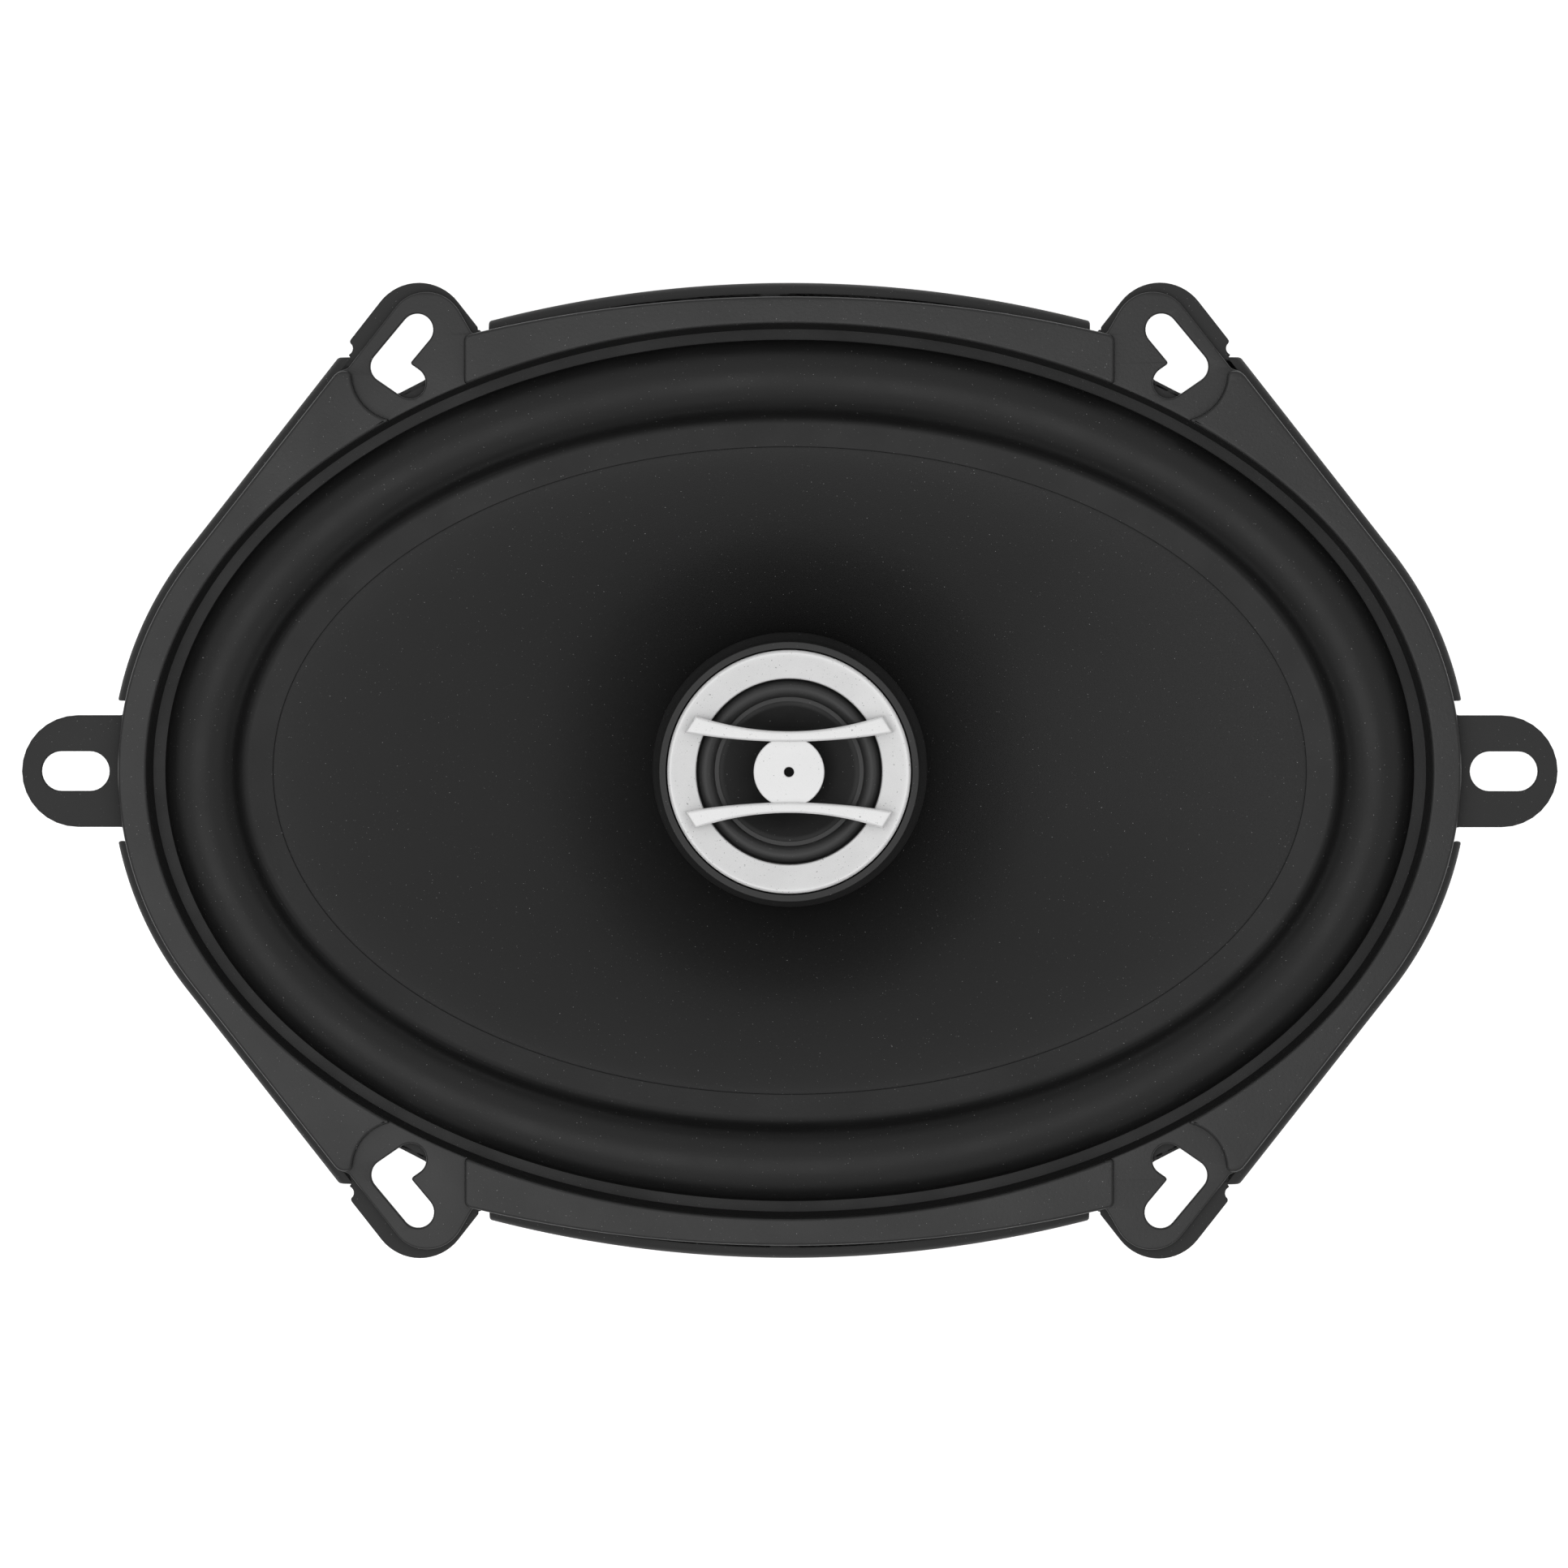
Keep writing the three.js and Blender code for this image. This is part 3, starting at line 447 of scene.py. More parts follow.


class Shader:
    """A node material whose colour, roughness and relief come from patterns in the part's own space."""

    def __init__(self, name, **fixed):
        self.material = bpy.data.materials.new(name)
        MATERIALS[name] = self.material
        self.material.use_nodes = True
        self.nodes = self.material.node_tree.nodes
        self.links = self.material.node_tree.links
        self.principled = self.nodes["Principled BSDF"]
        self.feed(self.principled, **fixed)
        self.place = self.node("TexCoord").outputs["Object"]
        self.height = None

    def put(self, value, socket):
        """Sets the socket to a plain value, or links it to another node's output."""
        if isinstance(value, bpy.types.NodeSocket):
            self.links.new(value, socket)
        else:
            socket.default_value = value

    def feed(self, node, **inputs):
        for name, value in inputs.items():
            self.put(value, node.inputs[name.replace("_", " ")])

    def node(self, kind, **inputs):
        made = self.nodes.new("ShaderNode" + kind)
        self.feed(made, **inputs)
        return made

    def stretched(self, x, y, z):
        return self.node("Mapping", Vector=self.place, Scale=(x, y, z)).outputs["Vector"]

    def radial_place(self):
        """Space made of distance from the axis and height, in which a pattern turns into rings."""
        split = self.node("SeparateXYZ", Vector=self.place)
        squared = [self.combined("MULTIPLY", split.outputs[k], split.outputs[k]) for k in (0, 1)]
        distance = self.combined("POWER", self.combined("ADD", *squared), 0.5)
        return self.node("CombineXYZ", X=distance, Y=split.outputs["Z"]).outputs["Vector"]

    def noise(self, size, detail=3.0, place=None):
        """Cloudy pattern whose features are about size millimetres across."""
        where = place or self.place
        node = self.node("TexNoise", Vector=where, Scale=1 / (size * MM), Detail=detail, Roughness=0.6)
        return node.outputs["Fac"]

    def cells(self, size):
        """Grains of about size millimetres, dark at their middles."""
        return self.node("TexVoronoi", Vector=self.place, Scale=1 / (size * MM)).outputs["Distance"]

    def waves(self, pitch, direction, distortion=0.0):
        """Even bands, pitch millimetres apart."""
        scale = math.pi / (10 * pitch * MM)
        node = self.node("TexWave", Vector=self.place, Scale=scale, Distortion=distortion, Detail=1.0)
        node.bands_direction = direction
        return node.outputs["Fac"]

    def mapped(self, value, low, high, from_low=0.3, from_high=0.7):
        node = self.node("MapRange", Value=value, To_Min=low, To_Max=high)
        self.feed(node, From_Min=from_low, From_Max=from_high)
        return node.outputs["Result"]

    def combined(self, operation, one, other):
        node = self.node("Math")
        node.operation = operation
        self.put(one, node.inputs[0])
        self.put(other, node.inputs[1])
        return node.outputs["Value"]

    def mixed(self, share, dark, light):
        """Colour between two, each a colour or another mix, by share."""
        node = self.node("Mix", Factor=share)
        node.data_type = "RGBA"
        for socket, colour in ((node.inputs[6], dark), (node.inputs[7], light)):
            self.put((*colour, 1) if isinstance(colour, tuple) else colour, socket)
        return node.outputs[2]

    def surface(self, colour, roughness):
        self.feed(self.principled, Base_Color=colour, Roughness=roughness)

    def relief(self, output, depth, strength=1.0):
        """Bump of the given depth in millimetres, on top of any already there."""
        node = self.node("Bump", Height=output, Distance=depth * MM, Strength=strength)
        if self.height:
            self.feed(node, Normal=self.height)
        self.height = node.outputs["Normal"]
        self.feed(self.principled, Normal=self.height)


def grey(level):
    return (level, level, level)


def speckled(shader, size, rare, full, base, speck):
    """The base colour with specks where a noise of that size is above rare, at full strength above full."""
    specks = shader.mapped(shader.noise(size, 1.0), 0.0, 1.0, rare, full)
    return shader.mixed(specks, base, speck)


def clouded(shader, size, detail, dark, light, smooth, rough):
    """Colour and roughness that vary together in soft clouds."""
    cloud = shader.noise(size, detail)
    shader.surface(shader.mixed(cloud, dark, light), shader.mapped(cloud, smooth, rough))


def dusted(shader, base):
    """The base colour with a scatter of fine pale dust."""
    return speckled(shader, 0.22, 0.76, 0.8, base, grey(0.25))


def moulded(name, dark, light, roughness, grain, relief, mottle=18.0, **fixed):
    """Moulded plastic or rubber: fine even grain, faint clouding, a little dust."""
    shader = Shader(name, **fixed)
    fine = shader.noise(grain, 4.0)
    cloud = shader.noise(mottle, 3.0)
    base = shader.mixed(shader.combined("MULTIPLY", fine, cloud), grey(dark), grey(light))
    shader.surface(dusted(shader, base), shader.mapped(cloud, roughness - 0.06, roughness + 0.07))
    shader.relief(fine, relief)


def coated_steel():
    shader = Shader("black_coated_steel", Specular_IOR_Level=0.26)
    peel = shader.noise(1.1, 2.0)
    cloud = shader.noise(25.0, 3.0)
    base = shader.mixed(cloud, grey(0.019), grey(0.028))
    shader.surface(dusted(shader, base), shader.mapped(cloud, 0.5, 0.62))
    shader.relief(peel, 0.03)
    shader.relief(shader.noise(0.18, 2.0), 0.006)


def ferrite():
    shader = Shader("ferrite")
    grains = shader.noise(0.3, 5.0)
    pits = shader.mapped(shader.noise(1.6, 2.0), 0.0, 1.0, 0.64, 0.72)
    base = shader.mixed(grains, (0.030, 0.031, 0.034), (0.065, 0.066, 0.070))
    shader.surface(shader.mixed(pits, base, grey(0.02)), shader.mapped(grains, 0.68, 0.88))
    shader.relief(grains, 0.03)
    shader.relief(pits, 0.05, 0.5)


def plated_steel():
    """Zinc plate over turned steel: rings about the axis, dull blotches."""
    shader = Shader("plated_steel", Metallic=1.0)
    clouded(shader, 9.0, 4.0, (0.19, 0.197, 0.205), (0.3, 0.3, 0.292), 0.26, 0.46)
    shader.relief(shader.noise(0.5, 2.0, shader.radial_place()), 0.012)


def metal(name, dark, light, roughness):
    shader = Shader(name, Metallic=1.0)
    fine = shader.noise(0.6, 3.0)
    tone = shader.mixed(shader.noise(4.0, 3.0), dark, light)
    shader.surface(tone, shader.mapped(fine, roughness - 0.06, roughness + 0.1))
    shader.relief(fine, 0.01)


def woven_cloth():
    """Resin-treated cotton: two sets of threads, uneven tone."""
    shader = Shader("spider_cloth", Sheen_Weight=0.15)
    warp = shader.waves(0.55, "X", distortion=0.4)
    weft = shader.waves(0.55, "Y", distortion=0.4)
    threads = shader.combined("MAXIMUM", warp, weft)
    cloud = shader.noise(5.0, 3.0)
    tone = shader.mixed(cloud, (0.36, 0.20, 0.055), (0.52, 0.33, 0.11))
    shader.surface(shader.mixed(threads, (0.16, 0.085, 0.02), tone), shader.mapped(cloud, 0.78, 0.92))
    shader.relief(threads, 0.12)


def wound_copper():
    """Close turns of enamelled wire."""
    shader = Shader("enamelled_copper", Metallic=0.85, Coat_Weight=0.5, Coat_Roughness=0.2)
    clouded(shader, 2.0, 2.0, (0.42, 0.13, 0.045), (0.62, 0.22, 0.08), 0.24, 0.4)
    shader.relief(shader.waves(0.3, "Z"), 0.1)


def braided_tinsel():
    shader = Shader("tinsel_braid", Metallic=0.8)
    over = shader.waves(0.5, "DIAGONAL", distortion=0.6)
    under = shader.waves(0.5, "Y", distortion=0.6)
    strands = shader.combined("MULTIPLY", over, under)
    tone = shader.mixed(strands, (0.20, 0.10, 0.045), (0.62, 0.38, 0.20))
    shader.surface(tone, shader.mapped(strands, 0.55, 0.36))
    shader.relief(strands, 0.1)


def laminate():
    """Paper laminate: long fibres under a thin gloss."""
    shader = Shader("board_laminate")
    fibres = shader.noise(0.7, 4.0, shader.stretched(0.15, 1.0, 1.0))
    specks = shader.mapped(shader.noise(0.5, 2.0), 0.0, 1.0, 0.62, 0.7)
    base = shader.mixed(fibres, (0.12, 0.052, 0.018), (0.24, 0.115, 0.045))
    shader.surface(shader.mixed(specks, base, (0.07, 0.03, 0.012)), shader.mapped(fibres, 0.42, 0.6))
    shader.relief(fibres, 0.02)


def insulation(name, dark, light):
    """Soft wire covering, faintly uneven, with a slight sheen."""
    shader = Shader(name, Coat_Weight=0.15, Coat_Roughness=0.35)
    clouded(shader, 3.0, 3.0, dark, light, 0.34, 0.52)
    shader.relief(shader.noise(0.4, 2.0), 0.02)


def shrink_sleeve():
    shader = Shader("capacitor_sleeve", Coat_Weight=0.3, Coat_Roughness=0.25)
    clouded(shader, 4.0, 3.0, (0.012, 0.022, 0.055), (0.02, 0.036, 0.085), 0.3, 0.46)
    shader.relief(shader.noise(1.4, 3.0, shader.stretched(0.4, 1.0, 1.0)), 0.05)


def coil_film():
    shader = Shader("coil_former_film", Coat_Weight=0.4, Coat_Roughness=0.15)
    clouded(shader, 3.0, 3.0, (0.36, 0.15, 0.02), (0.52, 0.25, 0.045), 0.22, 0.38)
    shader.relief(shader.noise(0.6, 2.0), 0.008)


def satin_silver():
    """Silver paint on moulded plastic: very fine flake under a thin lacquer."""
    shader = Shader("silver_plastic", Metallic=0.2)
    flake = shader.noise(0.06, 1.0)
    cloud = shader.noise(6.0, 3.0)
    tone = shader.combined("ADD", shader.mapped(flake, 0.0, 0.6), shader.mapped(cloud, 0.0, 0.4))
    base = shader.mixed(tone, grey(0.7), grey(0.84))
    shader.surface(speckled(shader, 0.3, 0.7, 0.76, base, grey(0.35)), shader.mapped(cloud, 0.3, 0.44))
    shader.relief(flake, 0.004)


def cone_polymer():
    """Mica-filled polypropylene: dark and matt, with small pale mica flakes lying in it; their glints are
    painted into the colour.
    """
    shader = Shader("cone_polymer", Specular_IOR_Level=0.22)
    fine = shader.noise(0.25, 4.0)
    cloud = shader.noise(22.0, 3.0)
    # Pale mica flakes: real flakes, with their glints painted in as pale specks of colour.
    flakes = shader.mapped(shader.cells(0.7), 1.0, 0.0, 0.05, 0.16)
    patches = shader.mapped(shader.noise(2.2, 1.0), 0.0, 0.5, 0.5, 0.7)
    painted_flake_glints = shader.combined("MULTIPLY", flakes, patches)
    base = shader.mixed(shader.combined("MULTIPLY", fine, cloud), grey(0.0135), grey(0.0205))
    shader.surface(dusted(shader, shader.mixed(painted_flake_glints, base, grey(0.08))), shader.mapped(fine, 0.36, 0.5))
    shader.relief(fine, 0.02)
    shader.relief(shader.noise(2.4, 2.0), 0.03, 0.6)


coated_steel()
moulded("gasket_plastic", 0.012, 0.020, 0.35, 0.45, 0.03, Specular_IOR_Level=0.37)
moulded("surround_rubber", 0.009, 0.013, 0.36, 0.5, 0.015, mottle=12.0, Specular_IOR_Level=0.24)
# Lighter copy of the surround rubber for the tweeter roll: its extra lightness is painted sheen.
moulded("tweeter_rubber_painted_sheen", 0.026, 0.036, 0.36, 0.3, 0.01, Specular_IOR_Level=0.34)
cone_polymer()
woven_cloth()
coil_film()
wound_copper()
plated_steel()
ferrite()
laminate()
metal("terminal_brass", (0.62, 0.42, 0.14), (0.82, 0.62, 0.28), 0.3)
braided_tinsel()
shrink_sleeve()
insulation("red_wire", (0.28, 0.012, 0.008), (0.42, 0.02, 0.012))
insulation("black_wire", grey(0.012), grey(0.022))
moulded("black_plastic", 0.018, 0.028, 0.48, 0.3, 0.02, Specular_IOR_Level=0.36)
metal("neodymium", (0.55, 0.55, 0.56), (0.72, 0.72, 0.74), 0.24)
moulded("dome_film", 0.008, 0.014, 0.45, 0.4, 0.01, mottle=5.0, Specular_IOR_Level=0.3)
satin_silver()


# ---------- pressed steel basket ----------

def keyhole(margin):
    """The two slots that make the boomerang-shaped screw opening."""
    radius = KEYHOLE_RADIUS + margin
    top, elbow, toe = KEYHOLE
    return [slot_outline(top, elbow, radius), slot_outline(elbow, toe, radius)]


def side_slots():
    near, far, radius = SIDE_SLOT
    slot = slot_outline((near, 0), (far, 0), radius)
    return [slot, mirrored(slot, -1, 1)]


def steel_opening():
    """The keyhole in the steel stops at a straight edge beside the bowl's step."""
    middle_x, middle_y, slope = KEYHOLE_EDGE
    run, rise = math.cos(slope), math.sin(slope)
    block = rectangle(-12, 12, -6, 0)
    below = [(middle_x + x * run - y * rise, middle_y + x * rise + y * run) for x, y in block]
    return region(keyhole(0.2), [below])[0]


def flange_plate():
    ears = [slot_outline((80, 0), (SIDE_EAR[0], 0), SIDE_EAR[1])]
    ears.append(mirrored(ears[0], -1, 1))
    root = [(50, 54), (58, 52)]
    ears += all_quarters(ear_outline(CORNER_EAR, 8.7, 8, math.pi - FLANK) + root)
    beside_side_ear = rectangle(97.6, 101, SIDE_EAR[1], SIDE_LIP_END)
    beside_long_rim = rectangle(TOP_LIP_END, 45.6, 64.6, 69)
    cuts = side_slots() + all_quarters(steel_opening()) + [ellipse(96.2, 67.5)]
    cuts += all_quarters(beside_side_ear) + all_quarters(beside_long_rim) + all_quarters(hole(*RELIEF))
    # Behind its turned rim the sheet runs up to the lip's end beside the ear.
    sheet = oval_outline(dict(FLANGE_OUTLINE, flank_top=FLANK_LIP_TOP + LIP_BEND), LIP_BEND)
    body = region([sheet] + ears, cuts)
    return plate([eased(loop, 0.6) for loop in body], FLANGE_TOP - SHEET, FLANGE_TOP, 0.3)


def lip_section():
    """Inset and height round the turned rim's section, from the flange's face over the bend and back."""
    outer = arc(LIP_BEND, FLANGE_TOP - LIP_BEND, LIP_BEND, math.pi / 2, math.pi, 8)
    foot = arc(SHEET / 2, FLANGE_TOP - LIP_DEPTH + SHEET / 2, SHEET / 2, math.pi, 2 * math.pi, 6)
    inner = arc(LIP_BEND, FLANGE_TOP - LIP_BEND, LIP_BEND - SHEET, math.pi, math.pi / 2, 5)
    ends = [(LIP_BEND + 0.8, FLANGE_TOP - SHEET), (LIP_BEND + 0.8, FLANGE_TOP)]
    return outer + foot + inner + ends


def rounded_ends(mesh, first_end, radius):
    """The mesh with the edges of its end faces rounded; they are the faces from first_end on."""
    builder = bmesh.new()
    builder.from_mesh(mesh)
    builder.faces.ensure_lookup_table()
    edges = {edge for face in builder.faces[first_end:] for edge in face.edges}
    bmesh.ops.bevel(builder, geom=list(edges), offset=radius * MM, segments=3, profile=0.5, affect="EDGES")
    builder.to_mesh(mesh)
    builder.free()
    return mesh


def lip_strip(line_at):
    """The section swept along a line; line_at(inset) gives the line's points at that inset."""
    section = lip_section()
    lines = [line_at(inset) for inset, _ in section]
    length, count = len(lines[0]), len(section)
    points = [(*lines[n][k], section[n][1]) for k in range(length) for n in range(count)]
    faces = swept_faces(length, count, length - 1)
    ends = [tuple(range(count)), tuple(range((length - 1) * count, length * count))[::-1]]
    return rounded_ends(mesh_from(points, faces + ends), len(faces), 0.35)


def lips():
    def long_rim(inset):
        half = rim_arc(FLANGE_OUTLINE, inset, TOP_LIP_END)
        return half[:-1] + mirrored(half, -1, 1)

    def flank(inset):
        end = FLANGE_OUTLINE["end"] - inset
        start = math.asin(SIDE_LIP_END / end)
        return end_arc(FLANGE_OUTLINE, inset, start) + [flank_corner(FLANGE_OUTLINE, FLANK_LIP_TOP, inset)]

    strips = []
    for y in (1, -1):
        strips.append(lip_strip(lambda inset: [(px, py * y) for px, py in long_rim(inset)]))
        for x in (1, -1):
            strips.append(lip_strip(lambda inset: [(px * x, py * y) for px, py in flank(inset)]))
    return strips


BOWL = [
    ((97.0, 68.3, FLANGE_TOP - SHEET), 0),
    ((97.0, 68.3, FLANGE_TOP), 0.3),
    ((95.0, 66.3, FLANGE_TOP), 0.6),
    ((95.0, 66.3, SURROUND_LEDGE), 0.4),
    ((90.0, 61.3, SURROUND_LEDGE), 1.2),
    ((88.0, 59.3, 53.5), 1.5),
    ((46.0, 44.0, 33.0), 1.5),
    ((44.0, 43.0, SPIDER_LEDGE), 0.8),
    ((38.0, 38.0, SPIDER_LEDGE), 1.2),
    ((37.0, 37.0, TOP_PLATE_TOP + SHEET), 1.0),
    ((20.0, 20.0, TOP_PLATE_TOP + SHEET), 0),
    ((20.0, 20.0, TOP_PLATE_TOP), 0),
    ((38.0, 38.0, TOP_PLATE_TOP), 1.6),
    ((39.0, 39.0, SPIDER_LEDGE - SHEET), 1.0),
    ((44.6, 43.6, SPIDER_LEDGE - SHEET), 1.2),
    ((47.0, 45.0, 32.2), 1.8),
    ((89.0, 60.3, 52.7), 1.8),
    ((90.4, 61.7, SURROUND_LEDGE - SHEET), 1.2),
    ((96.0, 67.3, SURROUND_LEDGE - SHEET), 1.4),
    ((96.0, 67.3, FLANGE_TOP - SHEET), 0),
]
WINDOWS = ((8, 41), (60, 120), (139, 172))  # degrees, repeated on the other long side
WINDOW_BOTTOM = 35.0
WINDOW_TOP = 51.5
WINDOW_CORNER = 2.5
WINDOW_FLATNESS = 0.72  # the windows' edges run as if on an oval this much lower than wide
WINDOW_REACH = (38.0, 130.0)
BEADS = (0, 50.5, 129.5, 180, 230.5, 309.5)  # middles of the arms, each stiffened by a pressed bead
BEAD_HEIGHTS = (34, 53)
BEAD_HALF_ANGLE = 4.5
BEAD_DEPTH = 1.1


def window_outline(window):
    """A sector between two arms, from inside the bowl's wall to well outside it."""
    inside, outside = WINDOW_REACH

    def corner(radius, degrees):
        angle = math.radians(degrees)
        return (radius * math.cos(angle), radius * WINDOW_FLATNESS * math.sin(angle))

    middle = (window[0] + window[1]) / 2
    section = [corner(inside, window[0]), corner(outside, window[0]), corner(outside * 1.2, middle)]
    return section + [corner(outside, window[1]), corner(inside, window[1])]


def bead(angle, point):
    """Presses a shallow bead into each arm, deepest half way up the bowl."""
    x, y, z = point
    low, high = BEAD_HEIGHTS
    if not low < z < high:
        return point
    rise = math.sin(math.pi * (z - low) / (high - low)) ** 2
    for middle in BEADS:
        apart = abs((math.degrees(angle) - middle + 180) % 360 - 180)
        if apart < BEAD_HALF_ANGLE:
            across = math.cos(math.pi / 2 * apart / BEAD_HALF_ANGLE) ** 2
            return (x, y, z - BEAD_DEPTH * rise * across)
    return point


def make_basket():
    section = softened([p for p, _ in BOWL], [r for _, r in BOWL])
    fine = []
    for k, point in enumerate(section):
        ahead = section[(k + 1) % len(section)]
        steps = max(1, int((ahead - point).length / 2.5))
        fine += [point.lerp(ahead, n / steps) for n in range(steps)]
    bowl = oval_ring(fine, 2 * OVAL, bead)
    tools = []
    for window in WINDOWS:
        for y in (1, -1):
            loop = [(px, py * y) for px, py in window_outline(window)]
            tools.append(plate([loop], WINDOW_BOTTOM, WINDOW_TOP, WINDOW_CORNER, 6))
    bowl = cut_away(joined([bowl]), tools)
    tongue = plate([rectangle(-4.5, 4.5, -56, -43.4)], SPIDER_LEDGE - SHEET, SPIDER_LEDGE, 0.2)
    meshes = [flange_plate(), bowl, tongue] + lips()
    add_piece("basket_pressing", "basket_frame", meshes, "black_coated_steel")


# ---------- front gasket ----------

def pocket_outline():
    """Pocket in the raised band round a corner screw: a straight side, an arc, then open to the outside."""
    x, y, radius = POCKET
    side = [(POCKET_INNER, OUTSIDE), (POCKET_INNER, y - radius)]
    corner = [(x + radius, POCKET_OUTER), (OUTSIDE, POCKET_OUTER), (OUTSIDE, OUTSIDE)]
    return side + arc(x, y, radius, -math.pi / 2, 0) + corner


def make_gasket():
    mouth = ellipse(*GASKET_MOUTH)
    ears = all_quarters(ear_outline(GASKET_EAR, 12, 6, math.radians(150)))
    holes = [loop for slot in keyhole(0) for loop in all_quarters(slot)]
    base = region([oval_outline(GASKET_OUTLINE)] + ears, [mouth] + holes)
    band = region([oval_outline(GASKET_OUTLINE)], [mouth] + all_quarters(pocket_outline()))
    # Below the plate, the inner wall leans in to the surround's lip, which it clamps.
    foot, head = SURROUND_LEDGE + ROLL_SKIN, EAR_POCKET - 0.5
    skirt = [
        (93.3, 64.7, foot), (95.4, 66.7, foot), (95.4, 66.7, head), (*GASKET_MOUTH, head),
        (93.97, 65.37, FLANGE_TOP + 0.5),
    ]
    meshes = [
        plate([eased(loop, 0.5) for loop in base], FLANGE_TOP, EAR_POCKET, 0.3),
        plate([eased(loop, 0.9) for loop in band], FLANGE_TOP + 0.3, GASKET_TOP, 0.45),
        oval_ring(softened(skirt, [0.2, 0, 0, 0, 0])),
    ]
    add_piece("gasket_moulding", "front_gasket", meshes, "gasket_plastic")


# ---------- woofer cone and suspension ----------

def cone_point(s):
    """Point of the cone's upper face, s running from the neck to the shoulder."""
    return (
        CONE_NECK + (CONE_SHOULDER[0] - CONE_NECK) * s,
        CONE_NECK + (CONE_SHOULDER[1] - CONE_NECK) * s,
        NECK_TOP + (RIM_TOP - NECK_TOP) * (1 - (1 - s) ** 1.4),
    )


def make_cone():
    upper = [cone_point(1 - k / 40) for k in range(41)]
    lower = [(a + 0.15, b + 0.15, z - 0.8) for a, b, z in upper][::-1]
    rim = [(80.4, 51.7, RIM_TOP - 0.8), (80.4, 51.7, RIM_TOP), (78, 49.6, RIM_TOP)]
    neck = [(CONE_NECK, CONE_NECK, NECK_TOP - 2.5), (CONE_NECK + 0.6, CONE_NECK + 0.6, NECK_TOP - 2.5)]
    add_piece("cone_body", "woofer_cone", [oval_ring(rim + upper + neck + lower)], "cone_polymer")


def flex(thing):
    """Bakes the ring's placement into its mesh, where it stays."""
    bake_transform(thing)


def make_surround():
    lip_top = SURROUND_LEDGE + ROLL_SKIN

    def arch(inset, steps=26):
        made = []
        for k in range(steps + 1):
            angle = math.pi * k / steps
            share = 0.5 - (0.5 - inset / 11) * math.cos(angle)
            foot = lip_top + (RIM_TOP + ROLL_SKIN - lip_top) * share
            made.append((
                ROLL_OUTER[0] + (ROLL_INNER[0] - ROLL_OUTER[0]) * share,
                ROLL_OUTER[1] + (ROLL_INNER[1] - ROLL_OUTER[1]) * share,
                foot + (ROLL_CROWN - inset - lip_top) * math.sin(angle),
            ))
        return made

    outside = arch(0)
    # The roll runs into its inner lip over a fillet.
    foot = Vector(outside[-1])
    fillet = bend(Vector(outside[-5]), foot, foot - Vector((FILLET_RUN, FILLET_RUN, 0)), 8)
    outside = outside[:-5] + [tuple(p) for p in fillet]
    inside = arch(ROLL_SKIN)[::-1]
    inside[0] = (*inside[0][:2], RIM_TOP)
    inside[-1] = (*inside[-1][:2], SURROUND_LEDGE)
    # The inner lip thins out towards the cone it is glued on.
    thin_edge = [(*CONE_SHOULDER, RIM_TOP + 0.28), (*CONE_SHOULDER, RIM_TOP + 0.01)]
    inner_lip = softened([outside[-1]] + thin_edge + [inside[0]], [0, 0.25, 0, 0])
    outer_lip = [(*SURROUND_SEAT, SURROUND_LEDGE), (*SURROUND_SEAT, lip_top)]
    section = outer_lip + outside[:-1] + [tuple(p) for p in inner_lip] + inside[1:]
    meshes = [oval_ring(section)]
    roll = add_piece("surround_roll", "woofer_surround", meshes, "surround_rubber", SOFT_EDGE, rides=False)
    flex(roll)


def make_spider():
    skin, waves, height, samples = 0.5, 3, 0.8, 48
    inner, outer = 16, 36.5
    lower = [(12.95, SPIDER_LEDGE), (inner, SPIDER_LEDGE)]
    for k in range(1, samples):
        share = k / samples
        rise = height * math.sin(2 * math.pi * waves * share)
        lower.append((inner + (outer - inner) * share, SPIDER_LEDGE + rise))
    lower += [(outer, SPIDER_LEDGE), (42.6, SPIDER_LEDGE)]
    upper = [(r, z + skin) for r, z in lower][::-1]
    meshes = [turned(lower + upper)]
    cloth = add_piece("spider_cloth_disc", "spider", meshes, "spider_cloth", SOFT_EDGE, rides=False)
    flex(cloth)


def make_woofer_coil():
    film = rectangle(12.55, 12.8, 13, 36.5)
    add_piece("coil_tube", "voice_coil_former", [turned(film, 0.05)], "coil_former_film")
    wire = rectangle(12.81, 13.4, 16, 25)
    add_piece("coil_turns", "voice_coil_winding", [turned(wire, 0.2)], "enamelled_copper")


# ---------- tweeter ----------

def make_pod():
    shell = [
        (3.2, 46), (19.6, 46), (20.3, 46.8), (20.3, 48.2), (19, 50.5), (19, 62),
        (18, 62), (18, 58), (17, 58), (17, 47.5), (3.2, 47.5),
    ]
    radii = [0.2, 0.5, 0.4, 0.5, 1.2, 0.2, 0.12, 0.1, 0.3, 0.6, 0.2]
    meshes = [turned(shell, radii)]
    for degrees in RIB_ANGLES:
        rib = plate([rectangle(5, 12.5, -0.8, 0.8)], 47, 50, 0.15)
        meshes.append(moved(rib, Matrix.Rotation(math.radians(degrees), 4, "Z")))
    add_piece("pod_cup", "tweeter_pod", meshes, "black_plastic")


